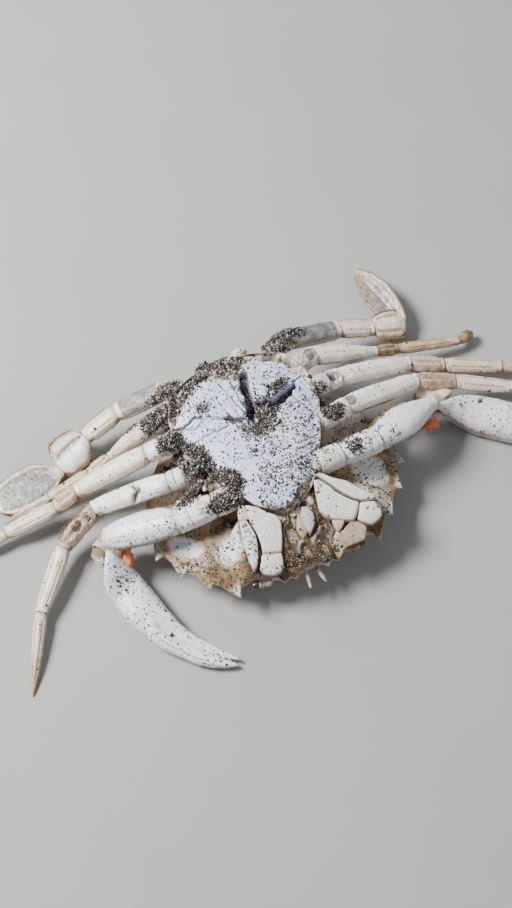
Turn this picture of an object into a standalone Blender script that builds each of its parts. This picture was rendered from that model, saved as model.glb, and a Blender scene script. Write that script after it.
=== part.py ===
"""Paddle crab lying on its back, life size, as a still museum model.

The frame is the animal's own as it lies: +Z is up, towards its belly; -Y is its front; +X is the side
of its right claw. The origin is the middle of the small flat that its back rests on. Sizes are in
millimetres and turned into metres when a mesh is made.
"""

import math

import bpy
import bmesh
from mathutils import Vector

MM = 0.001
GAP = 0.3
FLOOR = 0.0
UP = Vector((0, 0, 1))

# Shell of the back, a shallow dome with a toothed edge
SHELL_CENTRE = Vector((0, 3))
SHELL_EDGE = [
    (0, -31.9), (8.5, -32.2), (12.5, -31.2), (17, -29), (22, -28.5), (28, -28), (36.5, -20.5), (43, -12),
    (46.5, -2), (46.2, 6), (41.5, 17), (33, 28), (23, 36.5), (12, 41), (0, 42),
]
SHELL_POINTS = 72
SHELL_FLAT = 0.2
SHELL_DEPTH = 11.6
SHELL_RIM = 1.6
EDGE_LEVEL = SHELL_DEPTH + SHELL_RIM / 2
DOME_RINGS = 6
DOME_POWER = 2.1
BELLY_RINGS = 7
BELLY_HEIGHT = 17.5
BELLY_CENTRE = Vector((0, 4))
BELLY_HALF = (30, 34)
BELLY_MOST = 0.96
BELLY_INSIDE = [0.9, 0.8, 0.68, 0.5]

# Smooth hollows under the shell beside the jaws: middle, half sizes, turn in degrees and depth
HOLLOWS = [
    (-23.2, -14.8, 8.0, 6.2, 38, 1.4), (-38, -8, 7.2, 4.4, 62, 1.1), (34, -7, 8.0, 6.0, -50, 0.9),
]
HOLLOW_BANK = 0.5

# Teeth along the shell's edge: the tips of one side, outermost last. A side tooth is a saw tooth
# whose root reaches back along the edge from its tip; a front tooth points straight ahead.
SIDE_TEETH = [(26.6, -32.8), (35.3, -25.3), (43.0, -17.4), (48.8, -8.2), (49.4, 1.2)]
SIDE_ROOT = dict(half=3.4, back=2.8)
FRONT_TEETH = [(5.8, -34.8), (10.4, -34.2)]
FRONT_ROOT = dict(half=2.0, back=0)
TOOTH_THICK = 1.0
TOOTH_SUNK = 2.6
TOOTH_SIDES = 6
TOOTH_STEPS = [(0, 1.0), (0.55, 0.55), (0.97, 0.1)]

# Mouth frame, the sloping plate under the jaws, and the foot of the bank round it. The right jaw has
# slid outwards, and the frame reaches out under it.
MOUTH_EDGE = [
    (0, -15.5), (1.9, -15.5), (10.9, -10), (15.5, -8.8), (22.5, -12.5), (28.5, -18.5), (29, -25.5),
    (20.5, -29), (0, -31.2), (-17, -30.4), (-20.8, -26), (-21, -18), (-19.6, -11.8), (-15.5, -8.8),
    (-10.9, -10), (-1.9, -15.5),
]
MOUTH_FOOT = [
    (0, -15.5), (1.9, -15.5), (10.9, -10), (16, -8), (24.5, -10.5), (31.5, -18), (31, -25.8),
    (21.5, -29.3), (0, -31.3), (-17.5, -30.6), (-22.4, -26.4), (-23.2, -18), (-21.6, -10.6), (-16, -8),
    (-10.9, -10), (-1.9, -15.5),
]
MOUTH_BANK = 16.6
MOUTH_HEIGHT = 24.2
MOUTH_SLOPE = 0.42
MOUTH_LEVEL = -15
MOUTH_SUNK = 14.5

# Thorax, the broad breastplate with the sockets of the limbs along its sides
THORAX_EDGE = [(-15, 1.5), (-9.5, 10.5), (4.5, 19.8), (20, 26.5), (32, 27), (42, 22.5), (46.5, 12), (47, 8)]
THORAX_TOP = 33
THORAX_FALL = 3.2
THORAX_FOOT = BELLY_HEIGHT + GAP
THORAX_TAPER = 0.86
THORAX_ROW = 1.7
THORAX_COLUMNS = 18
FOOT_COLUMNS = [1, 0.5, 0, -0.5, -1]
FRONT_FALL = 2.5
EDGE_FADE = 0.12

# The breastplate is broken. BREAST is what is left of its smooth face, and round it the broken
# inside lies lower. A shard is a piece of it with how far it stands up, a cavity is a line with its
# half width and depth, and a heap of stuck sand is a middle with half sizes, turn and height.
BREAST = [
    (-12.3, 42.2), (-1.1, 37.9), (2.8, 36.6), (5.5, 42.5), (11.4, 41.8), (19.2, 38.4), (24.4, 31.5),
    (26.2, 19.4), (22.4, 14), (23.4, 7), (16.6, 2.2), (14.4, -4), (9.5, -7.7), (4.4, -9.7), (3.1, -11.7),
    (-1.8, -14.1), (-6.6, -11.2), (-14, -7.2), (-19, 2), (-19.5, 10.4), (-18.6, 14.5), (-22.4, 18.5),
    (-24.3, 23), (-23.2, 27), (-26, 28.9),
]
BREAST_RISE = 1.5
SHARDS = [
    ([(-12.3, 42.2), (-1.1, 37.8), (-0.1, 20.2), (-6.8, 24.2), (-17.4, 29.6), (-22.8, 27.3), (-26, 28.7)], 0.9),
    ([(5.7, 35.8), (8.6, 35.4), (11.4, 31.1), (9.9, 26.9), (5.9, 27.2), (3.3, 30.3)], 0.7),
    ([(19.8, 28.3), (22.6, 28.5), (26.2, 19.4), (21.9, 15.2), (17.5, 24.1)], 0.6),
]
CAVITIES = [
    ([(4.7, 38.4), (3.4, 33.5), (2.7, 29.5), (0.9, 21.4)], 1.6, 4.6),
    ([(3.2, 24.8), (9.8, 23.6)], 1.8, 2.6),
    ([(9.8, 23.6), (13, 24.4), (19, 27.2)], 1.7, 5.0),
]
HEAPS = [(-15, 3.2, 4.4, 6.4, 32, 1.1), (2, 22, 7, 5, 0, 0.4)]
CAVITY_BANK = 0.8
SHARD_BANK = 0.7

# Limbs, front to back: where each leaves the thorax, as the facet it grows from and its height
ROOT_HEIGHT = {"claw": 27.3, "leg_2": 27, "leg_3": 27, "leg_4": 26, "paddle_leg": 25}
ROOT_FACET = {"claw": 1, "leg_2": 2, "leg_3": 3, "leg_4": 4, "paddle_leg": 5}

# Pose: for each stretch of a limb its length, its heading and how far it drops, in degrees.
# Headings are taken outwards from the thorax, 0 straight to the side, positive towards the tail.
# The first two stretches of a leg are its base and its merus, which are one piece.
POSE = {
    "claw_left": [(22.6, 3, 10), (26.2, 16, 19), (10.0, -54, 51)],
    "claw_right": [(25.2, 5, 10), (29.5, 16, 14), (12.4, 7, 43)],
    "leg_2_left": [(12.9, 3, 11), (28.8, 12, 21), (17.7, -24, 22), (24.5, -50, 8), (29.1, -64, 8)],
    "leg_2_right": [(16.5, 15, 12), (29.2, 5, 16), (16.2, -13, 19), (23.5, -24, 10), (28.5, -25, 12.5)],
    "leg_3_left": [(13.0, 5, 20), (28.2, 2, 20), (10.1, -6, 26), (19.8, -3, 9), (26.3, -8, 11)],
    "leg_3_right": [(13.2, 10, 19), (31.0, -1, 18), (14.5, -15, 18), (23.0, -20, 8), (27.5, -21, 10)],
    "leg_4_left": [(11.1, 2, 21), (17.3, -7, 29), (9.9, -5, 26), (16.8, -8, 9), (18.9, -6, 8)],
    "leg_4_right": [(12.2, 19, 19), (25.3, -9, 18), (10.4, 0, 26), (25.6, -9, 10), (7.5, 14, 15)],
    "paddle_leg_left": [(11.6, 37, 20), (17.3, 6, 29), (14.8, -11, 16), (14.9, -30, 17), (28.7, -5, 6)],
    "paddle_leg_right": [(17.7, 36, 13), (21.3, -7, 22), (14.1, -12, 14), (13.7, -4, 13), (30.8, 102, 2)],
}
SEGMENTS = {
    "claw": ["base", "arm", "wrist"],
    "leg": ["merus", "carpus", "propodus", "dactyl"],
    "paddle_leg": ["merus", "carpus", "propodus", "paddle"],
}
SLENDER = ["leg_4_left", "leg_4_right"]
BROKEN = ["leg_4_right"]
NECKED = ["claw_right"]
BLADE_ROLL = {"paddle_leg_left": 0, "paddle_leg_right": 42}
BLADE_WIDTH = {"paddle_leg_left": 1, "paddle_leg_right": 0.8}
LEG_SIDES = 10
CLAW_SIDES = 14

# Sections along each segment: place along its length, half width, half thickness
SECTIONS = {
    "base": [
        (0, 4.0, 4.0), (0.12, 4.6, 4.4), (0.5, 4.6, 4.3), (0.62, 4.2, 4.0), (0.72, 4.7, 4.4),
        (1, 4.3, 4.1),
    ],
    "arm": [(0, 4.3, 4.1), (0.14, 5.3, 4.6), (0.45, 5.8, 5.0), (0.8, 5.2, 4.8), (1, 4.1, 3.9)],
    "necked arm": [(0, 4.3, 4.1), (0.14, 5.3, 4.6), (0.5, 5.9, 5.0), (0.78, 4.9, 4.6), (1, 3.4, 3.4)],
    "wrist": [(0, 4.1, 3.9), (0.3, 5.0, 4.6), (0.7, 5.2, 4.9), (1, 4.5, 4.3)],
    "necked wrist": [(0, 3.4, 3.4), (0.3, 4.6, 4.2), (0.7, 5.0, 4.6), (1, 4.5, 4.3)],
    "leg merus": [
        (0, 3.3, 3.2), (0.08, 3.9, 3.6), (0.2, 3.9, 3.5), (0.28, 3.4, 3.1), (0.38, 3.8, 3.2),
        (0.6, 3.7, 3.0), (0.88, 3.3, 2.8), (1, 2.7, 2.4),
    ],
    "leg carpus": [(0, 2.7, 2.4), (0.25, 3.2, 2.7), (0.75, 3.1, 2.6), (1, 2.5, 2.2)],
    "leg propodus": [(0, 2.5, 2.2), (0.2, 2.9, 2.3), (0.7, 2.7, 2.1), (1, 2.1, 1.7)],
    "leg dactyl": [(0, 2.1, 1.7), (0.15, 2.2, 1.7), (0.55, 1.7, 1.3), (0.85, 0.9, 0.8), (1, 0.3, 0.3)],
    "slender merus": [
        (0, 3.3, 3.2), (0.08, 3.9, 3.6), (0.2, 3.9, 3.5), (0.28, 3.4, 3.1), (0.38, 3.8, 3.2),
        (0.6, 3.3, 2.8), (0.8, 2.3, 2.2), (1, 1.7, 1.7),
    ],
    "slender carpus": [(0, 1.7, 1.7), (0.3, 2.2, 2.0), (0.75, 2.2, 1.9), (1, 1.7, 1.6)],
    "slender propodus": [(0, 1.7, 1.6), (0.2, 2.1, 1.8), (0.7, 1.9, 1.6), (1, 1.5, 1.4)],
    "slender dactyl": [(0, 1.5, 1.3), (0.2, 1.6, 1.3), (0.6, 1.2, 1.0), (1, 0.3, 0.3)],
    "broken dactyl": [(0, 1.5, 1.4), (0.35, 2.2, 1.8), (1, 1.7, 1.4)],
    "paddle merus": [
        (0, 3.4, 3.2), (0.1, 4.2, 3.6), (0.25, 4.0, 3.4), (0.35, 3.6, 3.0), (0.55, 3.8, 2.9),
        (0.9, 3.8, 2.7), (1, 3.0, 2.4),
    ],
    "paddle carpus": [(0, 3.0, 2.4), (0.25, 3.3, 2.5), (0.75, 3.2, 2.4), (1, 2.7, 2.0)],
    "paddle propodus": [
        (0, 2.7, 2.0), (0.16, 5.4, 2.1), (0.45, 7.0, 2.2), (0.8, 6.2, 1.9), (0.94, 4.0, 1.6),
        (1, 2.4, 1.4),
    ],
    "paddle": [
        (0, 2.4, 1.3), (0.12, 4.4, 1.0), (0.3, 6.6, 0.8), (0.55, 7.6, 0.7), (0.8, 6.2, 0.6),
        (0.93, 3.6, 0.5), (1, 1.2, 0.4),
    ],
}

# Hand: distance along the line from wrist to fingertips, offset to the outer side, half width,
# half thickness and height of the middle. The fixed finger carries on from the palm.
HAND = [
    (0, 0, 4.6, 4.3, 7.2), (4, 1.3, 5.8, 5.0, 5.9), (12.4, 3.6, 6.9, 5.2, 4.9), (20, 5.7, 6.9, 5.1, 4.8),
    (28.2, 6.8, 5.9, 4.4, 4.2), (28.8, 5.0, 3.9, 4.0, 4.1), (34, 5.2, 2.7, 3.1, 3.7),
    (41.6, 4.4, 1.8, 2.2, 3.2), (50, 2.8, 1.5, 1.7, 2.7), (57.6, 0.2, 0.6, 0.6, 2.3),
]
FINGER = [
    (29.3, 11.1, 1.8, 2.6, 4.2), (31.5, 11.1, 2.1, 3.0, 4.0), (35.5, 10.6, 2.2, 2.8, 3.7),
    (40, 9.5, 2.2, 2.5, 3.4), (47.3, 8.1, 2.1, 2.1, 2.9), (52.3, 6.3, 1.7, 1.7, 2.6),
    (56.2, 3.9, 1.2, 1.2, 2.4), (58.6, 2.3, 0.5, 0.6, 2.2),
]
HAND_HEADING = {"claw_left": -121, "claw_right": -56}
HAND_LONG = {"claw_left": 1, "claw_right": 1.06}
HAND_THICK = {"claw_left": 1, "claw_right": 1.14}
HAND_BULGE = 16

# Jaw plates on the mouth frame: plan outlines
JAW_THICK = 2.3
JAW_LEFT = [
    (-14.6, -9.6), (-10.9, -10.2), (-5.9, -14.4), (-5.1, -17), (-6.6, -21.5), (-8.9, -26.2), (-10, -29.8),
    (-13.7, -31), (-17.4, -28.6), (-14.9, -24), (-14.1, -19), (-14.8, -14.3),
]
JAW_RIGHT = [
    (12, -9.5), (15, -11.2), (16.6, -14), (18.6, -16.9), (21.4, -19.5), (23.6, -20.9), (28.8, -22.3),
    (29.2, -26), (24.7, -28), (20.7, -25.6), (14.3, -23.2), (11, -21), (9.4, -18), (10.1, -13.3),
]
PALP_LEFT = [
    (-18.2, -12.2), (-16.1, -12.7), (-15.2, -17.5), (-15.9, -21.2), (-17.4, -24.8), (-19.1, -27.6),
    (-20.2, -27), (-19.7, -18.5),
]
PALP_RIGHT = [
    (15.3, -8.6), (17.4, -9.2), (22.1, -12.7), (25.5, -16.5), (28.6, -20.2), (27.6, -21.2), (24.3, -20.1),
    (21.8, -18.5), (19.4, -16), (17.4, -13.5), (15.7, -10.6),
]
JAW_TIP = [(-2, -17), (3, -16.5), (7.2, -18), (8, -24), (5.5, -28.5), (1.5, -28.5), (-3.4, -25)]
JAW_TIP_THICK = 2.8
PLATE_STEPS = [(1.0, 0), (1.0, 0.65), (0.86, 1)]

# Tail flap: only its first rings are left, a band that bends from the shell up behind the thorax.
# Its section is listed as distance to the rear and height, first along the body, then back outside.
TAIL_HALF = 9.4
TAIL_STEPS = 8
TAIL_ROUND = 0.9
TAIL_INSIDE = [(42.6, 12.8), (42.6, 17.4), (47.35, 17.4), (47.35, 23), (47.35, 29)]
TAIL_OUTSIDE = [(49, 28.4), (51.2, 24), (51, 18.5), (48.4, 14.4), (44.6, 12.2)]

# Eyes on short stalks, folded into the notches of the shell's edge, and stumps of the feelers:
# how far from the midline each leaves the edge, the points after that, and the radii
SMALL_NECK = 1.4
SMALL_SIDES = 8
EYE_ROOT = 13.4
EYE_PATH = [
    (15.8, -32.7, 12.4), (17.6, -32.1, 12.3), (19.3, -31.6, 12.2), (20.9, -31.4, 12.1),
    (22, -31.4, 12),
]
EYE_RADII = [0.9, 1.1, 1.3, 1.7, 2.0, 1.8, 0.9]
FEELER_ROOT = 2.1
FEELER_PATH = [(2.3, -34.9, 12.3), (2.6, -36.6, 12.2), (3, -38.4, 12)]
FEELER_RADII = [0.8, 0.8, 0.8, 0.7, 0.45]

COLOURS = {
    "shell": ((0.50, 0.43, 0.31), 0.62),
    "thorax": ((0.62, 0.66, 0.76), 0.5),
    "jaw": ((0.80, 0.78, 0.73), 0.42),
    "mouth": ((0.30, 0.20, 0.12), 0.6),
    "claw": ((0.82, 0.81, 0.77), 0.36),
    "leg": ((0.74, 0.68, 0.56), 0.45),
    "blade": ((0.42, 0.41, 0.38), 0.4),
    "eye": ((0.05, 0.035, 0.03), 0.25),
}


def clear_scene():
    for obj in list(bpy.data.objects):
        bpy.data.objects.remove(obj, do_unlink=True)


def make_materials():
    """One plain finish for each kind of surface."""
    made = {}
    for name, (colour, roughness) in COLOURS.items():
        material = bpy.data.materials.new(name)
        material.use_nodes = True
        shader = material.node_tree.nodes["Principled BSDF"]
        shader.inputs["Base Color"].default_value = (*colour, 1)
        shader.inputs["Roughness"].default_value = roughness
        shader.inputs["Metallic"].default_value = 0
        made[name] = material
    return made


def add_solid(name, rings, material):
    """A closed solid through rings of equally many points, first to last, capped at both ends."""
    mesh = bmesh.new()
    loops = []
    for ring in rings:
        loops.append([mesh.verts.new(Vector((p.x, p.y, max(p.z, FLOOR))) * MM) for p in ring])
    count = len(loops[0])
    for low, high in zip(loops, loops[1:]):
        for i in range(count):
            j = (i + 1) % count
            mesh.faces.new((low[i], low[j], high[j], high[i]))
    mesh.faces.new(list(reversed(loops[0])))
    mesh.faces.new(loops[-1])
    bmesh.ops.recalc_face_normals(mesh, faces=mesh.faces)
    bmesh.ops.triangulate(mesh, faces=mesh.faces)
    data = bpy.data.meshes.new(name)
    mesh.to_mesh(data)
    mesh.free()
    data.materials.append(material)
    data.shade_smooth()
    data.set_sharp_from_angle(angle=math.radians(35))
    obj = bpy.data.objects.new(name, data)
    bpy.context.scene.collection.objects.link(obj)
    return obj


def keep_largest(mesh):
    """Leaves only the connected surface with the most faces."""
    mesh.faces.ensure_lookup_table()
    left = set(mesh.faces)
    shells = []
    while left:
        shell = set()
        edge = [left.pop()]
        while edge:
            face = edge.pop()
            shell.add(face)
            for line in face.edges:
                for other in line.link_faces:
                    if other in left:
                        left.remove(other)
                        edge.append(other)
        shells.append(shell)
    largest = max(shells, key=len)
    scraps = [face for shell in shells if shell is not largest for face in shell]
    bmesh.ops.delete(mesh, geom=scraps, context="FACES")


def fuse(body, pieces):
    """Joins the pieces to the body with one union, applied, and removes them."""
    group = bpy.data.collections.new(body.name + "_pieces")
    bpy.context.scene.collection.children.link(group)
    for piece in pieces:
        bpy.context.scene.collection.objects.unlink(piece)
        group.objects.link(piece)
    union = body.modifiers.new("union", "BOOLEAN")
    union.operation = "UNION"
    union.operand_type = "COLLECTION"
    union.collection = group
    union.solver = "EXACT"
    graph = bpy.context.evaluated_depsgraph_get()
    joined = bpy.data.meshes.new_from_object(body.evaluated_get(graph))
    body.modifiers.clear()
    body.data = joined
    for piece in list(group.objects):
        bpy.data.objects.remove(piece, do_unlink=True)
    bpy.data.collections.remove(group)
    mesh = bmesh.new()
    mesh.from_mesh(joined)
    keep_largest(mesh)
    bmesh.ops.triangulate(mesh, faces=mesh.faces)
    mesh.to_mesh(joined)
    mesh.free()


def smooth_loop(points, count):
    """A closed smooth curve through the points, read at count places evenly along its length."""
    fine = []
    steps = 24
    total = len(points)
    for i in range(total):
        a, b, c, d = (points[(i + k) % total] for k in (-1, 0, 1, 2))
        for step in range(steps):
            t = step / steps
            fine.append(0.5 * ((2 * b) + (c - a) * t + (2 * a - 5 * b + 4 * c - d) * t * t
                               + (3 * b - a - 3 * c + d) * t ** 3))
    lengths = [0]
    for i, point in enumerate(fine):
        lengths.append(lengths[-1] + (fine[(i + 1) % len(fine)] - point).length)
    loop = []
    place = 0
    for k in range(count):
        wanted = lengths[-1] * k / count
        while lengths[place + 1] < wanted:
            place += 1
        part = (wanted - lengths[place]) / (lengths[place + 1] - lengths[place])
        loop.append(fine[place].lerp(fine[(place + 1) % len(fine)], part))
    return loop


def both_sides(half):
    """Closes a half outline, listed from the midline to the midline on the +X side, by mirroring it."""
    other = [(-x, y) for x, y in reversed(half) if x != 0]
    return [Vector(point) for point in list(half) + other]


def shell_edge():
    return smooth_loop(both_sides(SHELL_EDGE), SHELL_POINTS)


def edge_spot(edge, point):
    """The edge's point nearest to a point, the way along the edge to the rear, and the way in."""
    nearest = min(range(len(edge)), key=lambda i: (edge[i] - point).length)
    along = (edge[(nearest + 1) % len(edge)] - edge[nearest - 1]).normalized()
    if along.y < 0:
        along = -along
    inward = SHELL_CENTRE - edge[nearest]
    inward = (inward - along * inward.dot(along)).normalized()
    return edge[nearest], along, inward


def make_tooth(tip, half, back, edge, height, material):
    """A flattened tooth on the shell's edge, its root sunk in the shell."""
    tip = Vector(tip)
    spot, along, inward = edge_spot(edge, tip)
    root = spot + along * back + inward * TOOTH_SUNK
    rings = []
    for part, size in TOOTH_STEPS:
        centre = root.lerp(tip, part)
        ring = []
        for k in range(TOOTH_SIDES):
            turn = 2 * math.pi * k / TOOTH_SIDES
            flat = centre + along * (half * size * math.cos(turn))
            rise = TOOTH_THICK * max(size, 0.3) * math.sin(turn)
            ring.append(Vector((flat.x, flat.y, height + rise)))
        rings.append(ring)
    return add_solid("tooth", rings, material)


def mouth_height(y):
    return MOUTH_HEIGHT + MOUTH_SLOPE * (y - MOUTH_LEVEL)


def make_mouth_frame(material):
    sunk = [Vector((x, y, MOUTH_SUNK)) for x, y in MOUTH_FOOT]
    bank = [Vector((x, y, MOUTH_BANK)) for x, y in MOUTH_FOOT]
    top = [Vector((x, y, mouth_height(y))) for x, y in MOUTH_EDGE]
    return add_solid("mouth_frame", [sunk, bank, top], material)


def soft_step(value, low, high):
    part = min(max((value - low) / (high - low), 0), 1)
    return part * part * (3 - 2 * part)


def oval_reach(point, x, y, half_x, half_y, turn):
    """How far a point is from the middle of a turned oval, 1 on its outline."""
    c, s = math.cos(math.radians(turn)), math.sin(math.radians(turn))
    dx, dy = point.x - x, point.y - y
    return math.hypot((dx * c + dy * s) / half_x, (dy * c - dx * s) / half_y)


def line_distance(point, line):
    """Distance in plan from a point to a line of several stretches."""
    least = math.inf
    for a, b in zip(line, line[1:]):
        way = b - a
        part = min(max((point - a).dot(way) / way.length_squared, 0), 1)
        least = min(least, (point - a - way * part).length)
    return least


def depth_inside(point, outline):
    """Distance from a point to an outline, positive inside it and negative outside."""
    closed = [Vector(p) for p in outline]
    closed.append(closed[0])
    inside = False
    for a, b in zip(closed, closed[1:]):
        if (a.y > point.y) != (b.y > point.y):
            if point.x < (b.x - a.x) * (point.y - a.y) / (b.y - a.y) + a.x:
                inside = not inside
    distance = line_distance(point, closed)
    return distance if inside else -distance


def belly_point(point, height):
    """A point of the shell's underside, let down where it lies in a hollow."""
    for *oval, depth in HOLLOWS:
        height -= depth * soft_step(1 - oval_reach(point, *oval), 0, HOLLOW_BANK)
    return Vector((point.x, point.y, height))


def make_shell(materials):
    edge = shell_edge()
    belly = []
    for point in edge:
        away = point - BELLY_CENTRE
        scale = 1 / math.hypot(away.x / BELLY_HALF[0], away.y / BELLY_HALF[1])
        belly.append(BELLY_CENTRE + away * min(scale, BELLY_MOST))
    rings = []
    for k in range(DOME_RINGS + 1):
        part = k / DOME_RINGS
        reach = SHELL_FLAT + (1 - SHELL_FLAT) * math.sin(part * math.pi / 2)
        height = SHELL_DEPTH * ((reach - SHELL_FLAT) / (1 - SHELL_FLAT)) ** DOME_POWER
        ring = [SHELL_CENTRE + (p - SHELL_CENTRE) * reach for p in edge]
        rings.append([Vector((p.x, p.y, height)) for p in ring])
    for k in range(BELLY_RINGS + 1):
        part = k / BELLY_RINGS
        rim = SHELL_DEPTH + SHELL_RIM
        height = rim + (BELLY_HEIGHT - rim) * math.sin(part * math.pi / 2)
        ring = [p.lerp(q, part) for p, q in zip(edge, belly)]
        rings.append([belly_point(p, height) for p in ring])
    for size in BELLY_INSIDE:
        ring = [BELLY_CENTRE + (p - BELLY_CENTRE) * size for p in belly]
        rings.append([belly_point(p, BELLY_HEIGHT) for p in ring])
    shell = add_solid("carapace", rings, materials["shell"])
    pieces = [make_mouth_frame(materials["shell"])]
    for tips, root in ((SIDE_TEETH, SIDE_ROOT), (FRONT_TEETH, FRONT_ROOT)):
        for x, y in tips:
            for side in (-1, 1):
                tooth = make_tooth((side * x, y), **root, edge=edge, height=EDGE_LEVEL,
                                   material=materials["shell"])
                pieces.append(tooth)
    fuse(shell, pieces)


def thorax_half_width(y):
    """Half width of the breastplate at a place along it."""
    for (y0, w0), (y1, w1) in zip(THORAX_EDGE, THORAX_EDGE[1:]):
        if y0 <= y <= y1:
            return w0 + (w1 - w0) * (y - y0) / (y1 - y0)
    raise ValueError(f"{y} is off the thorax")


def breast_relief(point):
    """How far the breastplate's face lies below its highest shard, as a negative height."""
    shards = [rise * soft_step(depth_inside(point, outline), -SHARD_BANK, SHARD_BANK)
              for outline, rise in SHARDS]
    relief = max(shards) - SHARDS[0][1]
    relief -= BREAST_RISE * soft_step(-depth_inside(point, BREAST), -SHARD_BANK, SHARD_BANK)
    for line, half, depth in CAVITIES:
        away = line_distance(point, [Vector(p) for p in line])
        relief -= depth * (1 - soft_step(away, half - CAVITY_BANK, half + CAVITY_BANK))
    for *oval, rise in HEAPS:
        relief += rise * max(1 - oval_reach(point, *oval) ** 2, 0)
    return relief


def thorax_height(x, y, across):
    """Height of the breastplate's face."""
    height = THORAX_TOP - THORAX_FALL * across ** 4
    front, shoulder = THORAX_EDGE[0][0], THORAX_EDGE[2][0]
    if y < shoulder:
        height -= FRONT_FALL * ((shoulder - y) / (shoulder - front)) ** 2
    return height + breast_relief(Vector((x, y))) * soft_step(1 - abs(across), 0, EDGE_FADE)


def make_thorax(materials):
    stations = [y for y, _ in THORAX_EDGE]
    rows = []
    for y0, y1 in zip(stations, stations[1:]):
        steps = max(round((y1 - y0) / THORAX_ROW), 1)
        rows += [y0 + (y1 - y0) * k / steps for k in range(steps)]
    rows.append(stations[-1])
    columns = [k / THORAX_COLUMNS for k in range(-THORAX_COLUMNS, THORAX_COLUMNS + 1)]
    rings = []
    for y in rows:
        half = thorax_half_width(y)
        top = [Vector((u * half, y, thorax_height(u * half, y, u))) for u in columns]
        foot = [Vector((u * half * THORAX_TAPER, y, THORAX_FOOT)) for u in FOOT_COLUMNS]
        rings.append(top + foot)
    add_solid("thorax", rings, materials["thorax"])


def limb_kind(limb):
    return limb.rsplit("_", 1)[0]


def limb_side(limb):
    return -1 if limb.endswith("left") else 1


def root_of(limb):
    """The middle of the thorax facet that a limb grows from, and that facet's outward direction."""
    kind, side = limb_kind(limb), limb_side(limb)
    facet = ROOT_FACET[kind]
    (y0, w0), (y1, w1) = THORAX_EDGE[facet: facet + 2]
    wall = THORAX_TOP - THORAX_FALL - THORAX_FOOT
    half = (w0 + w1) / 2
    rise = (ROOT_HEIGHT[kind] - THORAX_FOOT) / wall
    reach = half * (THORAX_TAPER + (1 - THORAX_TAPER) * rise)
    outward = Vector((side * (y1 - y0), w0 - w1, 0)).normalized()
    lean = half * (1 - THORAX_TAPER) / wall * abs(outward.x)
    normal = Vector((outward.x, outward.y, -lean)).normalized()
    return Vector((side * reach, (y0 + y1) / 2, ROOT_HEIGHT[kind])), normal


def direction(side, heading, drop):
    """The unit vector of a heading and a drop, on the limb's own side."""
    heading, drop = math.radians(heading), math.radians(drop)
    level = math.cos(drop)
    return Vector((side * math.cos(heading) * level, math.sin(heading) * level, -math.sin(drop)))


def limb_joints(limb):
    """The limb's joints from the thorax outwards, and the direction of each stretch between them."""
    joint, normal = root_of(limb)
    joints, lines = [joint], []
    for length, heading, drop in POSE[limb]:
        line = direction(limb_side(limb), heading, drop)
        joint = joint + line * length
        joints.append(joint)
        lines.append(line)
    return joints, lines, normal


def cross_frame(line, roll):
    """Level side direction and upward direction square to a line, turned about it by roll degrees."""
    side = line.cross(UP).normalized()
    up = side.cross(line).normalized()
    turn = math.radians(roll)
    return side * math.cos(turn) + up * math.sin(turn), up * math.cos(turn) - side * math.sin(turn)


def place_sections(sections, joints, lines):
    """Sets sections along a run of stretches: centre, half width, half thickness and direction."""
    lengths = [(b - a).length for a, b in zip(joints, joints[1:])]
    placed = []
    for part, half, thick in sections:
        away = part * sum(lengths)
        stretch = 0
        while stretch < len(lengths) - 1 and away > lengths[stretch]:
            away -= lengths[stretch]
            stretch += 1
        line = lines[stretch]
        if len(lines) == 2:
            blend = min(max(part * sum(lengths) / lengths[0] - 0.5, 0), 1)
            line = lines[0].lerp(lines[1], blend).normalized()
        placed.append((joints[stretch] + lines[stretch] * away, half, thick, line))
    return placed


def mitre(ring, centre, line, half, joint, plane, inward):
    """Slides a ring's points along its line, so that at the joint they lie on the joint's plane."""
    slope = line.dot(plane)
    reach = 1.6 * half * math.sqrt(max(1 / slope ** 2 - 1, 0))
    depth = (centre - joint).dot(line) * inward
    if depth >= reach and depth > 0:
        return ring
    fade = 1 - depth / reach if reach > 0 else 1
    clear = GAP / 2 / slope * inward if depth <= 0 else 0
    return [p + line * (clear - (p - centre).dot(plane) / slope * fade) for p in ring]


def make_segment(name, sections, planes, sides, material, roll=0):
    """A tube through the sections, cut at each end along the plane of its joint, if it has one."""
    rings = []
    for centre, half, thick, line in sections:
        side, up = cross_frame(line, roll)
        ring = []
        for k in range(sides):
            turn = 2 * math.pi * (k + 0.5) / sides
            ring.append(centre + side * (half * math.cos(turn)) + up * (thick * math.sin(turn)))
        for end, plane, inward in zip((sections[0][0], sections[-1][0]), planes, (1, -1)):
            if plane:
                ring = mitre(ring, centre, line, half, end, plane, inward)
        rings.append(ring)
    return add_solid(name, rings, material)


def between(line, other):
    """The normal of the plane halfway between two directions."""
    return (line + other).normalized()


def make_leg(limb, materials):
    joints, lines, root_plane = limb_joints(limb)
    paddle = limb.startswith("paddle")
    names = SEGMENTS["paddle_leg" if paddle else "leg"]
    look = "paddle " if paddle else "slender " if limb in SLENDER else "leg "
    runs = [(joints[0:3], lines[0:2])]
    runs += [(joints[i:i + 2], lines[i:i + 1]) for i in (2, 3, 4)]
    planes = [root_plane] + [between(lines[i], lines[i + 1]) for i in (1, 2, 3)] + [None]
    for i, (part, (places, ways)) in enumerate(zip(names, runs)):
        if part == "paddle":
            sections = [(t, half * BLADE_WIDTH[limb], thick) for t, half, thick in SECTIONS["paddle"]]
            material = materials["blade"]
        elif part == "dactyl" and limb in BROKEN:
            sections, material = SECTIONS["broken dactyl"], materials["leg"]
        else:
            sections, material = SECTIONS[look + part], materials["leg"]
        placed = place_sections(sections, places, ways)
        roll = BLADE_ROLL[limb] if paddle and part in ("propodus", "paddle") else 0
        make_segment(f"{limb}_{part}", placed, planes[i:i + 2], LEG_SIDES, material, roll)


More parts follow.
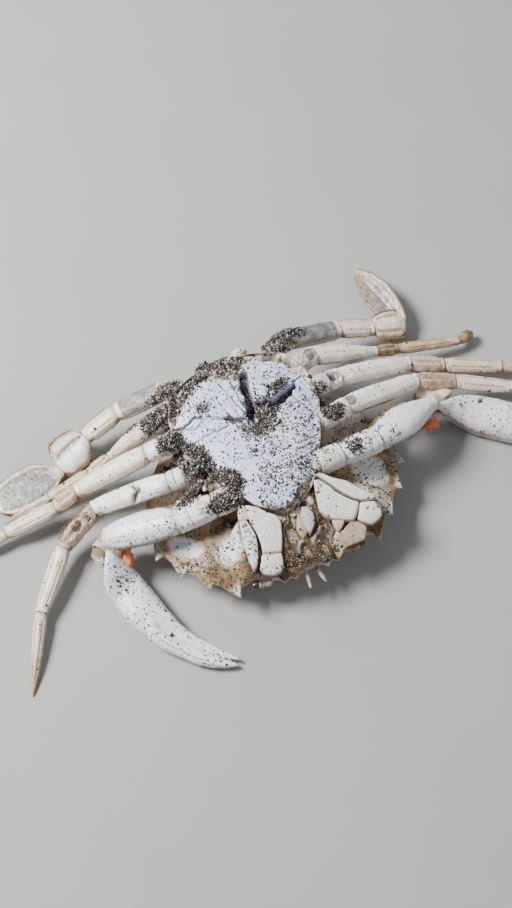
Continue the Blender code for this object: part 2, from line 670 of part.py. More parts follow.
def hand_sections(stations, wrist, along, outer, long, wide):
    """Sections of a hand or finger, in the hand's own length and thickness."""
    placed = []
    for away, offset, half, thick, height in stations:
        centre = wrist + along * (away * long) + outer * (offset * wide)
        placed.append((Vector((centre.x, centre.y, height)), half * wide, thick * wide, along))
    return placed


def make_claw(limb, materials):
    joints, lines, root_plane = limb_joints(limb)
    side = limb_side(limb)
    along = direction(side, HAND_HEADING[limb], 0)
    outer = direction(side, HAND_HEADING[limb] + 90, 0)
    swing = direction(side, HAND_HEADING[limb] + HAND_BULGE, 0)
    size = (HAND_LONG[limb], HAND_THICK[limb])
    turns = lines + [swing]
    planes = [root_plane] + [between(a, b) for a, b in zip(turns, turns[1:])]
    for i, part in enumerate(SEGMENTS["claw"]):
        look = f"necked {part}" if limb in NECKED and part != "base" else part
        placed = place_sections(SECTIONS[look], joints[i:i + 2], lines[i:i + 1])
        make_segment(f"{limb}_{part}", placed, planes[i:i + 2], CLAW_SIDES, materials["claw"])
    palm = hand_sections(HAND, joints[3], along, outer, *size)
    make_segment(f"{limb}_palm", palm, [planes[3], None], CLAW_SIDES, materials["claw"])
    finger = hand_sections(FINGER, joints[3], along, outer, *size)
    make_segment(f"{limb}_finger", finger, [None, None], LEG_SIDES, materials["claw"])


def make_plate(name, outline, thick, material):
    """A plate that lies on the sloping mouth frame, its upper edge drawn in a little."""
    points = [Vector(p) for p in outline]
    middle = sum(points, Vector((0, 0))) / len(points)
    rings = []
    for shrink, rise in PLATE_STEPS:
        ring = []
        for point in points:
            flat = middle + (point - middle) * shrink
            ring.append(Vector((flat.x, flat.y, mouth_height(flat.y) + GAP + rise * thick)))
        rings.append(ring)
    add_solid(name, rings, material)


def make_jaws(materials):
    make_plate("maxilliped_left", JAW_LEFT, JAW_THICK, materials["jaw"])
    make_plate("maxilliped_right", JAW_RIGHT, JAW_THICK, materials["jaw"])
    make_plate("exopod_left", PALP_LEFT, JAW_THICK, materials["jaw"])
    make_plate("exopod_right", PALP_RIGHT, JAW_THICK, materials["jaw"])
    make_plate("mandibles", JAW_TIP, JAW_TIP_THICK, materials["mouth"])


def make_tail(materials):
    """The first rings of the tail flap, a band between the shell's rear and the thorax's."""
    rings = []
    wall = THORAX_EDGE[-1][0] + GAP
    for k in range(TAIL_STEPS + 1):
        across = 2 * k / TAIL_STEPS - 1
        size = math.sqrt(1 - (TAIL_ROUND * across) ** 2)
        section = TAIL_INSIDE + [(wall + (y - wall) * size, z) for y, z in TAIL_OUTSIDE]
        rings.append([Vector((across * TAIL_HALF, y, z)) for y, z in section])
    add_solid("pleon", rings, materials["leg"])


def make_rod(name, root, path, radii, side, material):
    """A small rod that leaves the shell's front edge square to it and then follows a few points."""
    front = [point for point in shell_edge() if point.y < SHELL_CENTRE.y]
    start = min(front, key=lambda point: abs(point.x - root))
    spot, _, inward = edge_spot(front, start)
    points = [spot - inward * GAP, spot - inward * (GAP + SMALL_NECK)]
    points = [Vector((p.x, p.y, EDGE_LEVEL)) for p in points] + [Vector(p) for p in path]
    points = [Vector((side * p.x, p.y, p.z)) for p in points]
    rings = []
    for i, (point, radius) in enumerate(zip(points, radii)):
        before, after = points[max(i - 1, 0)], points[min(i + 1, len(points) - 1)]
        across, up = cross_frame((after - before).normalized(), 0)
        ring = []
        for k in range(SMALL_SIDES):
            turn = 2 * math.pi * k / SMALL_SIDES
            ring.append(point + across * (radius * math.cos(turn)) + up * (radius * math.sin(turn)))
        rings.append(ring)
    add_solid(name, rings, material)


def make_head(materials):
    for side, word in ((-1, "left"), (1, "right")):
        make_rod(f"eye_{word}", EYE_ROOT, EYE_PATH, EYE_RADII, side, materials["eye"])
        make_rod(f"antenna_{word}", FEELER_ROOT, FEELER_PATH, FEELER_RADII, side, materials["jaw"])


def main():
    clear_scene()
    materials = make_materials()
    make_shell(materials)
    make_thorax(materials)
    make_tail(materials)
    make_jaws(materials)
    make_head(materials)
    for limb in POSE:
        if limb.startswith("claw"):
            make_claw(limb, materials)
        else:
            make_leg(limb, materials)


main()
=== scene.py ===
"""Dresses the paddle crab's solids as a dried, washed-up crab that lies on its back.

Shapes are worked out in millimetres in the crab's own frame: +Z is up, towards its belly, -Y is its
front, and +X is the side of its larger claw. Settings are in metres.
"""

import math

import bpy
import numpy as np
from bpy.props import FloatProperty, FloatVectorProperty, IntProperty, PointerProperty
from mathutils import Matrix, Vector


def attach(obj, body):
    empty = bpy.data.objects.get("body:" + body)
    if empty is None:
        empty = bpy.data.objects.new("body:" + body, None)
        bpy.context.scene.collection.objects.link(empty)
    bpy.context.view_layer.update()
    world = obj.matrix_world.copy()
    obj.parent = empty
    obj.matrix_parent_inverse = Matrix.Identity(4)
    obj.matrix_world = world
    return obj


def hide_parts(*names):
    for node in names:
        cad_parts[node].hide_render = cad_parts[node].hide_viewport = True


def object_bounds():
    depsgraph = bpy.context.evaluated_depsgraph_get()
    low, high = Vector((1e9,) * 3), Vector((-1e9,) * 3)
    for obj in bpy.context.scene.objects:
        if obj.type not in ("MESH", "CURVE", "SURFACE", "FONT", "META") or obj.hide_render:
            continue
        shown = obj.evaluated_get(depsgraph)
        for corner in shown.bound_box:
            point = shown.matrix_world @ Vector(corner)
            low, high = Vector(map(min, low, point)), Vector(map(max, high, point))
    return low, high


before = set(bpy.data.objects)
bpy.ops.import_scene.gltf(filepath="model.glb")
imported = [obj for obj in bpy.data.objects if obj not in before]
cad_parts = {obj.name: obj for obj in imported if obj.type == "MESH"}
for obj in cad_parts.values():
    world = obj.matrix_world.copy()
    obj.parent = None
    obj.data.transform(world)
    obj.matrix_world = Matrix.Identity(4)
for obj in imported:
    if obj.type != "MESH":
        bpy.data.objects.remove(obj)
CAD_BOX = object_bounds()
# Points of finished pieces on which bristles grow, by the piece's name
surfaces = {}

bl_info = {
    "name": "Washed-up paddle crab",
    "version": (1, 1, 0),
    "blender": (4, 5, 0),
    "location": "3D View > Sidebar > Crab",
    "description": "Builds the shell, limbs, jaws, bristles and clinging sand of a paddle crab on its back",
    "category": "Add Mesh",
}

MM = 0.001
UP = np.array((0.0, 0.0, 1.0))
SEED = 7
# Steps in which stations are joined, before their corners are rounded off
EASE_STEPS = 400
# Steps between two points of a closed curve, before it is read evenly
LOOP_STEPS = 24
# What a point's finish is made of: how tan, how dark (dirt, and painted shade in joints, grooves, holes,
# cracks and crevices), pinkish, grey, bluish, cream and sandy it is
MASKS = ("tint", "dark", "blush", "grey", "blue", "cream", "grit")

# Shell of the back: half of its edge without teeth, from front to rear. It rests on a flat in its
# middle, given as a share of the way to its edge, and rises to its depth as a power of that way.
SHELL_CENTRE = np.array((0.0, 3.0))
SHELL_EDGE = [
    (0, -31.9), (8.5, -32.2), (12.5, -31.2), (17, -29), (22, -28.5), (28, -28), (36.5, -20.5), (43, -12),
    (46.5, -2), (46.2, 6), (41.5, 17), (33, 28), (23, 36.5), (12, 41), (0, 42),
]
SHELL_FLAT = 0.2
SHELL_DEPTH = 11.6
SHELL_RIM = 1.6
EDGE_LEVEL = SHELL_DEPTH + SHELL_RIM / 2
DOME_POWER = 2.1
# Its underside swells from the edge to this height on an oval round the thorax
BELLY_HEIGHT = 17.5
BELLY_CENTRE = np.array((0.0, 4.0))
BELLY_HALF = (30, 34)
BELLY_MOST = 0.96
SIDE_TEETH = [(26.6, -32.8), (35.3, -25.3), (43.0, -17.4), (48.8, -8.2), (49.4, 1.2)]
FRONT_TEETH = [(5.8, -34.8), (10.4, -34.2)]
# Half width of the root of each row's teeth, how far a root lies behind its tip, and how much of the
# way to its tip a tooth is drawn out
TOOTH_ROWS = [(SIDE_TEETH, 3.4, 2.8, 0.9), (FRONT_TEETH, 2.0, 0, 0.6)]
TOOTH_THIN = 0.8
BACK_RINGS = 64
BELLY_RINGS = 110
RIM_SWELL = 0.25
# The groove on the back, and the two dark spots: middle and half sizes of the one on the right
BACK_GROOVE = [(-16, -6), (-7, 2), (-8, 10), (0, 12), (8, 10), (7, 2), (16, -6)]
BACK_SPOT = (15, 24, 5.5, 5)
# The mouth frame stands up from the underside and slopes towards the front. Its wall starts and ends
# at these distances inside its edge.
MOUTH_EDGE = [
    (0, -15.5), (1.9, -15.5), (10.9, -10), (15.5, -8.8), (22.5, -12.5), (28.5, -18.5), (29, -25.5),
    (20.5, -29), (0, -31.2), (-17, -30.4), (-20.8, -26), (-21, -18), (-19.6, -11.8), (-15.5, -8.8),
    (-10.9, -10), (-1.9, -15.5),
]
MOUTH_HEIGHT = 24.2
MOUTH_SLOPE = 0.42
MOUTH_LEVEL = -15
MOUTH_WALL = (-2.6, 0.3)

# Smooth hollows under the shell beside the jaws: middle, half sizes, turn, depth and how bluish
HOLLOWS = [
    (-23.2, -14.8, 8.2, 6.4, 38, 1.4, 0.2), (-37.5, -8.5, 7.8, 3.6, -42, 1.1, 0.75),
    (34, -7, 8.4, 6.2, -50, 0.9, 0.12),
]
# Dark lines on the underside, and orange brown stains: middle, half sizes and strength
SHELL_LINES = [
    [(-27.3, -18.5), (-23.0, -21.8), (-19.5, -23.8)], [(-28.5, -11.5), (-27.0, -16.0), (-25.0, -19.2)],
    [(-41, -13), (-36, -16.5), (-31, -21)], [(30, -12), (35, -15), (38, -19)],
]
SHELL_STAINS = [
    (-23, -7.5, 9, 3.2, 1.0), (-31, -14, 2.6, 8, 0.7), (-43, -4, 3, 7, 0.7), (-31, -24, 14, 4, 0.85),
    (24, -6, 5, 4, 0.9), (41, -8, 3, 12, 0.85), (27, -30, 3, 5, 0.8), (-8, -31, 13, 3, 0.75),
]

# Thorax: distance to the rear and half width of its face, how far its face falls to the sides, and its
# foot, which is narrower. Sutures cross it, and it falls away in front of the first.
THORAX_EDGE = [(-15, 1.5), (-9.5, 10.5), (4.5, 19.8), (20, 26.5), (32, 27), (42, 22.5), (46.5, 12), (47, 8)]
THORAX_TOP = 33
THORAX_FALL = 3.2
THORAX_FOOT = 17.8
THORAX_TAPER = 0.86
SUTURES = [4.5, 20, 32]
FRONT_FALL = 2.5
EDGE_FADE = 0.12

# The broken breastplate: what is left of its smooth face, shards with how far they stand up, cavities
# with their half width and depth, cracks with theirs, and heaps of sand
BREAST = [
    (-12.3, 42.2), (-1.1, 37.9), (2.8, 36.6), (5.5, 42.5), (11.4, 41.8), (19.2, 38.4), (24.4, 31.5),
    (26.2, 19.4), (22.4, 14), (23.4, 7), (16.6, 2.2), (14.4, -4), (9.5, -7.7), (4.4, -9.7), (3.1, -11.7),
    (-1.8, -14.1), (-6.6, -11.2), (-14, -7.2), (-19, 2), (-19.5, 10.4), (-18.6, 14.5), (-22.4, 18.5),
    (-24.3, 23), (-23.2, 27), (-26, 28.9),
]
BREAST_RISE = 1.5
SHARDS = [
    ([(-12.3, 42.2), (-1.1, 37.8), (-0.1, 20.2), (-6.8, 24.2), (-17.4, 29.6), (-22.8, 27.3),
      (-26, 28.7)], 0.9),
    ([(5.7, 35.8), (8.6, 35.4), (11.4, 31.1), (9.9, 26.9), (5.9, 27.2), (3.3, 30.3)], 0.7),
    ([(19.8, 28.3), (22.6, 28.5), (26.2, 19.4), (21.9, 15.2), (17.5, 24.1)], 0.6),
    ([(-16, 27), (-15.3, 23.7), (-12.7, 21.1), (-8, 21.4), (-8.4, 24.1), (-12.1, 26.2)], 0.4),
]
CAVITIES = [
    ([(4.7, 38.4), (3.4, 33.5), (2.7, 29.5), (0.9, 21.4)], 1.6, 4.6), ([(3.2, 24.8), (9.8, 23.6)], 1.8, 2.6),
    ([(9.8, 23.6), (13, 24.4), (19, 27.2)], 1.7, 5.0), ([(-7.6, 24), (-3.6, 21.8)], 0.9, 1.6),
]
CRACKS = [
    ([(-5.5, 39.3), (0.2, 20.2)], 0.22, 0.9), ([(2.8, 36.2), (3.2, 27.4), (0.2, 20.2)], 0.25, 0.6),
    ([(0.2, 20.2), (-6.8, 24.2), (-13.5, 26.2), (-17.4, 29.6), (-22.8, 27.3), (-26, 28.7)], 0.3, 0.7),
    ([(-22.9, 27), (-19.3, 25), (-16, 27.2)], 0.22, 0.5),
    ([(8.6, 35.4), (11.4, 31.1), (9.9, 26.9)], 0.25, 0.6),
    ([(-16, 27.5), (-15.3, 23.7), (-12.7, 21.1), (-8, 21.4), (-8.4, 24.1)], 0.2, 0.45),
    ([(24.4, 30.8), (19.5, 28.5), (17.5, 24.1), (19.7, 18.8), (21.9, 15.2)], 0.25, 0.6),
    ([(26.5, 12), (21, 14.5), (17, 12)], 0.2, 0.4),
    ([(-24.3, 22.8), (-18.5, 14.4), (-19.3, 10.6)], 0.22, 0.4),
    ([(19.5, 5.3), (15.8, 6.5), (12, 5.2)], 0.2, 0.35), ([(9.6, -7.6), (7.5, -3.4), (9.6, 0.4)], 0.18, 0.3),
]
HEAPS = [(-15, 3.2, 4.4, 6.4, 32, 1.1), (2, 22, 7, 5, 0, 0.4)]
# Where fine grains crowd on the breastplate: middle, half sizes and strength
CROWDS = [(9, 9, 13, 13, 0.95), (2, -7, 10, 6, 0.8), (12, 34, 9, 7, 0.55)]
THORAX_ROWS = 320
THORAX_COLUMNS = 151
WALL_ROWS = 16

# Dried skin between the limb roots: its middle and half length, its foot and height, and how far it
# stands out past the thorax
ROOT_SKIN_MIDDLE = 18.5
ROOT_SKIN_HALF = 29.8
ROOT_SKIN_FOOT = 16.0
ROOT_SKIN_HEIGHT = 11.2
ROOT_SKIN_BEYOND = 3.2
ROOT_SKIN_RINGS = 44
ROOT_SKIN_AROUND = 220

# Limbs, front to back: the height of each root, and which side of the thorax it grows from, counted from
# the front. A pose gives each stretch's length, heading and drop; the left side's is mirrored.
ROOTS = {"claw": (27.3, 1), "leg_2": (27, 2), "leg_3": (27, 3), "leg_4": (26, 4), "paddle_leg": (25, 5)}
POSE = {
    "claw_left": [(22.6, 3, 10), (26.2, 16, 19), (10.0, -54, 51)],
    "claw_right": [(25.2, 5, 10), (29.5, 16, 14), (12.4, 7, 43)],
    "leg_2_left": [(12.9, 3, 11), (28.8, 12, 21), (17.7, -24, 22), (24.5, -50, 8), (29.1, -64, 8)],
    "leg_2_right": [(16.5, 15, 12), (29.2, 5, 16), (16.2, -13, 19), (23.5, -24, 10), (28.5, -25, 12.5)],
    "leg_3_left": [(13.0, 5, 20), (28.2, 2, 20), (10.1, -6, 26), (19.8, -3, 9), (26.3, -8, 11)],
    "leg_3_right": [(13.2, 10, 19), (31.0, -1, 18), (14.5, -15, 18), (23.0, -20, 8), (27.5, -21, 10)],
    "leg_4_left": [(11.1, 2, 21), (17.3, -7, 29), (9.9, -5, 26), (16.8, -8, 9), (18.9, -6, 8)],
    "leg_4_right": [(12.2, 19, 19), (25.3, -9, 18), (10.4, 0, 26), (25.6, -9, 10), (7.5, 14, 15)],
    "paddle_leg_left": [(11.6, 37, 20), (17.3, 6, 29), (14.8, -11, 16), (14.9, -30, 17), (28.7, -5, 6)],
    "paddle_leg_right": [(17.7, 36, 13), (21.3, -7, 22), (14.1, -12, 14), (13.7, -4, 13), (30.8, 102, 2)],
}
# How far the flat pieces of the right paddle leg are turned about their length
BLADE_ROLL = {"paddle_leg_right_propodus": -8, "paddle_leg_right_paddle": 42}
# Where the first pieces end: two as shares of a leg's first two stretches, one of a claw's first
LEG_COXA_END = 0.15
LEG_ISCHIUM_END = 0.29
CLAW_COXA_END = 0.39
# Heading of each hand, and its length and thickness as shares of the hand's stations
HANDS = {"claw_left": (-121, 1, 1), "claw_right": (-56, 1.06, 1.14)}

# Sections of each shell piece: place along it, half width, half thickness and, for a lopsided one,
# how far its middle lies towards the front
SECTIONS = {
    "claw coxa": [(0, 3.8, 3.8), (0.3, 4.5, 4.3), (0.8, 4.6, 4.3), (1, 4.4, 4.1)],
    "claw ischium": [(0, 4.2, 4.0), (0.3, 4.7, 4.4), (0.85, 4.8, 4.4), (1, 4.6, 4.3)],
    "arm": [(0, 4.3, 4.1), (0.14, 5.2, 4.6), (0.45, 5.9, 5.0), (0.8, 5.3, 4.8), (1, 4.2, 4.0)],
    "necked arm": [(0, 4.3, 4.1), (0.14, 5.2, 4.6), (0.42, 6.3, 5.2), (0.64, 5.5, 4.8), (0.82, 3.9, 4.0),
                   (1, 2.6, 2.9)],
    "wrist": [(0, 4.1, 3.9), (0.3, 5.1, 4.2), (0.7, 5.2, 3.5), (1, 4.5, 3.0)],
    "necked wrist": [(0, 2.6, 2.7, 0), (0.3, 3.3, 2.3, -1.4), (0.7, 3.2, 1.8, -2.4), (1, 2.4, 1.6, -1.5)],
    "coxa": [(0, 3.2, 3.2), (0.3, 3.9, 3.6), (0.8, 4.0, 3.6), (1, 3.8, 3.4)],
    "ischium": [(0, 3.4, 3.1), (0.35, 3.7, 3.3), (0.8, 3.7, 3.2), (1, 3.4, 3.0)],
    "merus": [(0, 3.2, 3.0), (0.12, 3.7, 3.2), (0.45, 3.8, 3.1), (0.85, 3.3, 2.8), (1, 2.8, 2.5)],
    "slender merus": [(0, 3.2, 3.0), (0.12, 3.6, 3.1), (0.4, 3.4, 2.9), (0.7, 2.5, 2.3), (1, 1.8, 1.8)],
    "carpus": [(0, 2.7, 2.4), (0.25, 3.2, 2.7), (0.75, 3.1, 2.6), (1, 2.6, 2.3)],
    "slender carpus": [(0, 1.7, 1.7), (0.3, 2.2, 2.0), (0.75, 2.2, 1.9), (1, 1.8, 1.7)],
    "propodus": [(0, 2.5, 2.2), (0.2, 2.9, 2.3), (0.7, 2.7, 2.1), (1, 2.2, 1.8)],
    "slender propodus": [(0, 1.7, 1.6), (0.2, 2.1, 1.8), (0.7, 1.9, 1.6), (1, 1.5, 1.4)],
    "dactyl": [(0, 2.1, 1.7), (0.15, 2.2, 1.7), (0.55, 1.7, 1.3), (0.85, 0.9, 0.8), (1, 0.25, 0.25)],
    "slender dactyl": [(0, 1.5, 1.3), (0.2, 1.6, 1.3), (0.6, 1.2, 1.0), (1, 0.25, 0.25)],
    "broken dactyl": [(0, 1.5, 1.4), (0.35, 2.2, 1.8), (0.8, 2.0, 1.7), (1, 1.5, 1.3)],
    "paddle coxa": [(0, 3.4, 3.2), (0.4, 4.2, 3.6), (1, 3.9, 3.3)],
    "paddle ischium": [(0, 3.6, 3.1), (0.4, 4.0, 3.4), (1, 3.7, 3.0)],
    "paddle merus": [(0, 3.5, 2.9), (0.15, 3.9, 2.9), (0.6, 4.0, 2.8), (0.92, 3.8, 2.6), (1, 3.2, 2.4)],
    "paddle carpus": [(0, 3.0, 2.4), (0.25, 3.4, 2.5), (0.75, 3.4, 2.4), (1, 2.8, 2.1)],
    "paddle propodus": [
        (0, 2.7, 2.0, 0), (0.16, 5.6, 2.1, -0.6), (0.45, 7.6, 2.2, -1.2), (0.8, 7.2, 1.9, -2.2),
        (0.94, 5.0, 1.6, -2.4), (1, 2.6, 1.4, -1.4),
    ],
    "right propodus": [
        (0, 2.7, 2.0), (0.16, 4.6, 2.2), (0.45, 5.5, 2.3), (0.8, 5.6, 2.0), (0.94, 4.4, 1.7), (1, 2.4, 1.4),
    ],
    "paddle": [
        (0, 2.2, 1.2), (0.1, 3.4, 0.95), (0.2, 6.0, 0.8), (0.34, 7.9, 0.75), (0.55, 8.2, 0.65),
        (0.8, 6.9, 0.55), (0.93, 4.3, 0.45), (1, 1.4, 0.3),
    ],
    "right paddle": [
        (0, 2.4, 1.2), (0.12, 3.8, 0.95), (0.3, 5.3, 0.8), (0.55, 5.9, 0.7), (0.8, 4.2, 0.6),
        (0.93, 2.2, 0.45), (1, 0.5, 0.3),
    ],
}
# Pieces that differ in kind from the same pieces of other limbs
KINDS = {
    ("claw_right", "arm"): "necked arm", ("claw_right", "wrist"): "necked wrist",
    **{(limb, part): f"slender {part}" for limb in ("leg_4_left", "leg_4_right")
       for part in ("merus", "carpus", "propodus", "dactyl")},
    ("leg_4_right", "dactyl"): "broken dactyl",
    ("paddle_leg_right", "propodus"): "right propodus", ("paddle_leg_right", "paddle"): "right paddle",
}


def both(angle, *rest):
    """The same ridge on the front and on the rear half of a piece."""
    return (angle, *rest), (180 - angle, *rest)


# Finish of each kind of shell piece, as masks. square is 2 for an oval section and more for a boxy one,
# bow is how far it bulges upwards and rough how pitted it is. edge is how tan its two edges are, tip
# how brown its end is, outline how dark the painted shadow line behind its start is, on its upper side
# under the rim of the piece before it. window, lobes and plate give it a clear middle, a thin wing or a
# pale rim from that share outwards. A ridge is its angle from the front edge, its angular half width,
# its height, and where it starts and ends; below 0 it is a groove.
LOOKS = {
    "claw coxa": dict(tint=0.2, grit=0.5),
    "claw ischium": dict(tint=0.05, grit=0.25, blue=0.15, ridges=[(35, 14, 0.25, 0.1, 0.9)]),
    "arm": dict(square=2.3, tint=0.02, edge=0.3, grit=0.14, bow=0.6, blue=0.15, ridges=[
        (20, 12, 0.35, 0.08, 0.95), (165, 12, 0.35, 0.08, 0.95), (270, 30, 0.4, 0.1, 0.9)]),
    "wrist": dict(square=2.3, tint=0.25, cream=0.5, edge=0.2, grit=0.1, blush=0.35, ridges=[
        *both(30, 12, 0.5, 0.15, 0.9), (90, 20, -0.3, 0.1, 0.8)]),
    "necked wrist": dict(square=2.2, tint=0.15, cream=0.7, grit=0.1),
    "coxa": dict(tint=0.15, grit=0.6, grey=0.3, blue=0.3),
    "ischium": dict(tint=0.06, grit=0.35, blue=0.2),
    "merus": dict(square=2.5, tint=0.04, edge=0.35, grit=0.14, bow=0.5, ridges=[
        *both(12, 9, 0.3, 0.05, 0.97), (75, 8, -0.1, 0.1, 0.9)]),
    "carpus": dict(square=2.7, tint=0.3, cream=0.4, edge=0.3, grit=0.1, outline=0.4, ridges=[
        *both(15, 10, 0.35, 0.1, 0.95), (62, 8, 0.3, 0.05, 0.95), (112, 8, 0.22, 0.1, 0.95),
        (88, 9, -0.22, 0.1, 0.9)]),
    "propodus": dict(square=2.8, tint=0.12, cream=0.4, edge=0.35, grit=0.08, outline=0.9, ridges=[
        *both(12, 9, 0.3, 0.05, 0.97), *both(58, 6, -0.32, 0.1, 0.95), (90, 9, 0.18, 0.05, 0.95)]),
    "dactyl": dict(
        square=2.4, tint=0.35, cream=0.5, edge=0.3, tip=0.6, grit=0.06, bow=0.7, outline=0.6, ridges=[
            *both(0, 12, 0.22, 0.05, 0.9), *both(55, 9, -0.28, 0.05, 0.85), (90, 12, 0.2, 0.05, 0.9)]),
    "broken dactyl": dict(tint=0.95, tip=0.4, grit=0.4, rough=0.6, dark=0.2),
    "paddle coxa": dict(tint=0.5, grit=1.0, dark=0.25),
    "paddle ischium": dict(tint=0.35, grit=0.9, grey=0.3, dark=0.1),
    "paddle merus": dict(square=3.0, tint=0.03, edge=0.5, grey=1.0, grit=0.2, window=True, ridges=[
        *both(0, 10, 0.35, 0.05, 0.97)]),
    "paddle carpus": dict(square=2.8, tint=0.15, cream=0.4, edge=0.5, grit=0.12, outline=0.8, ridges=[
        *both(8, 10, 0.4, 0.1, 0.95), (60, 7, -0.28, 0.1, 0.9), (118, 7, -0.2, 0.15, 0.9)]),
    "paddle propodus": dict(tint=0.02, edge=0.75, grit=0.15, blue=0.3, lobes=True, ridges=[
        (100, 7, -0.7, 0.02, 0.95), (60, 22, 0.4, 0.1, 0.9), (140, 16, 0.25, 0.1, 0.9)]),
    "right propodus": dict(square=2.4, tint=0.1, cream=0.5, edge=0.6, grit=0.1, outline=0.7, ridges=[
        (55, 7, -0.5, 0.05, 0.9), (125, 7, -0.4, 0.1, 0.9), (90, 14, 0.3, 0.1, 0.9)]),
    "paddle": dict(square=2.0, tint=0.03, edge=0.3, grey=1.0, grit=0.3, plate=0.74, ridges=[
        (90, 4, 0.2, 0.0, 0.5), *both(40, 5, -0.12, 0.0, 0.9)]),
    "right paddle": dict(square=2.0, tint=0.1, edge=0.6, grey=1.0, grit=0.35, plate=0.86, tip=0.5, ridges=[
        (90, 4, 0.2, 0.0, 0.8), (50, 5, -0.1, 0.0, 0.9)]),
}
# Tones of single pieces that differ from the others of their kind
TONES = {
    "claw_left_coxa": dict(cream=0.6), "leg_2_left_coxa": dict(grey=0.6, dark=0.1),
    "leg_2_left_carpus": dict(tint=0.5, dark=0.22, grit=0.5, rough=0.5),
    "leg_3_left_carpus": dict(tint=0.6, dark=0.12),
    "leg_2_left_propodus": dict(cream=0.5), "leg_3_left_merus": dict(cream=0.5, tint=0.12),
    "leg_4_left_merus": dict(cream=0.5, tint=0.35, grit=0.4), "leg_4_left_carpus": dict(tint=0.5),
    "leg_4_left_propodus": dict(tint=0.45), "leg_2_right_carpus": dict(blush=0.9, tint=0.15),
    "leg_3_right_carpus": dict(blush=0.2, tint=0.4),
    "leg_4_right_carpus": dict(tint=0.8, dark=0.3, rough=0.35),
    "leg_4_right_propodus": dict(tint=0.65, cream=0.6), "leg_4_right_merus": dict(cream=0.3),
    "leg_3_right_propodus": dict(cream=0.8, tint=0.25), "leg_3_right_dactyl": dict(tint=0.55),
    "leg_2_left_merus": dict(grit=0.35),
}

# Marks on single pieces: kind, place along, angle from the front edge, radius and depth; a crack has
# its half width for a radius, and ends at a second place and angle
MARKS = {
    "leg_3_right_ischium": [("hole", 0.5, 93, 2.8, 2.4)],
    "leg_4_right_ischium": [("window", 0.5, 88, 2.6, 0.5)],
    "leg_2_left_coxa": [("window", 0.6, 88, 2.4, 0.7)],
    "leg_2_left_merus": [("crack", 0.46, 20, 0.8, 2.0, 0.37, 92), ("crack", 0.38, 72, 0.6, 1.6, 0.46, 150)],
    "leg_2_left_ischium": [("crack", 0.6, 40, 0.22, 0.3, 0.62, 150)],
    "leg_2_left_carpus": [("hole", 0.5, 100, 2.1, 1.4), ("hole", 0.2, 60, 1.1, 0.7)],
    "leg_2_right_coxa": [("window", 0.8, 80, 2.6, 0.3)],
    "leg_2_right_merus": [("window", 0.06, 92, 2.0, 0.3)],
    "leg_3_right_merus": [("crack", 0.2, 50, 0.14, 0.2, 0.1, 150), ("crack", 0.28, 60, 0.14, 0.2, 0.2, 150)],
    "claw_right_palm": [("hole", 0.205, 68, 0.85, 1.4)],
    "claw_right_ischium": [
        ("crack", 0.35, 20, 0.14, 0.2, 0.45, 160), ("crack", 0.7, 20, 0.14, 0.2, 0.75, 160)],
    "claw_left_wrist": [("window", 0.5, 125, 2.5, 0.9)],
    "claw_left_arm": [("crack", 0.3, 30, 0.12, 0.2, 0.9, 45)],
    "claw_left_ischium": [
        ("crack", 0.3, 20, 0.16, 0.25, 0.36, 160), ("crack", 0.62, 20, 0.16, 0.25, 0.7, 160)],
}

# Hand: distance along the line from wrist to fingertips, offset to the outer side, half width, half
# thickness and height of the middle. Each hand has a narrow start of its own that bends up over the
# wrist, and the rest is shared.
HAND_STARTS = {
    "claw_left": [(0.2, -1.6, 1.0, 1.0, 15.6), (2.6, 0.3, 3.0, 2.2, 14.0), (5.1, 2.3, 5.2, 4.0, 11.2),
                  (8.4, 3.1, 6.5, 4.9, 8.0)],
    "claw_right": [(-3.3, -6.7, 0.8, 0.8, 16.2), (-1.3, -5.7, 1.3, 1.4, 15.0), (0.2, -3.3, 2.6, 2.6, 12.8),
                   (2.6, -0.8, 4.3, 4.0, 9.6), (6.2, 1.4, 5.6, 5.0, 6.9)],
}
HAND = [
    (12.4, 3.6, 6.9, 5.2, 4.9), (20, 5.7, 6.9, 5.1, 4.8), (27.6, 6.8, 5.9, 4.4, 4.2),
    (29.6, 5.1, 4.1, 4.0, 4.1), (34, 5.3, 3.0, 3.1, 3.7), (41.6, 4.6, 2.3, 2.2, 3.2),
    (50, 3.0, 1.8, 1.7, 2.7), (57.6, 0.3, 0.5, 0.6, 2.3),
]
FINGER = [
    (26.0, 9.4, 2.6, 3.4, 4.3), (28.4, 10.0, 2.9, 3.7, 4.3), (31.5, 10.5, 2.7, 3.4, 4.1),
    (35.5, 10.4, 2.6, 2.9, 3.8), (40, 9.4, 2.5, 2.5, 3.4), (47.3, 7.9, 2.4, 2.1, 2.9),
    (52.3, 6.0, 2.0, 1.7, 2.6), (56.2, 3.8, 1.4, 1.2, 2.4), (58.6, 2.3, 0.5, 0.6, 2.2),
]
# A hand of this length has this many times the rows of a limb piece
HAND_LENGTH = 57
HAND_ROWS = 2.2
HAND_LOOK = dict(square=2.3, tint=0.0, edge=0.12, grit=0.42, blue=0.18, ridges=[
    (172, 12, 0.25, 0.05, 0.5), (215, 10, 0.45, 0.02, 0.5), (255, 10, 0.45, 0.02, 0.55),
    (300, 10, 0.45, 0.02, 0.5)])
FINGER_LOOK = dict(square=2.3, tint=0.02, edge=0.15, grit=0.42, blue=0.1, ridges=[
    (70, 6, -0.25, 0.05, 0.85), (270, 14, 0.3, 0.05, 0.8)])
# Teeth where the fingers meet: how many the movable one has, and how high they are
BITE_TEETH = 17
BITE_DEPTH = 0.5

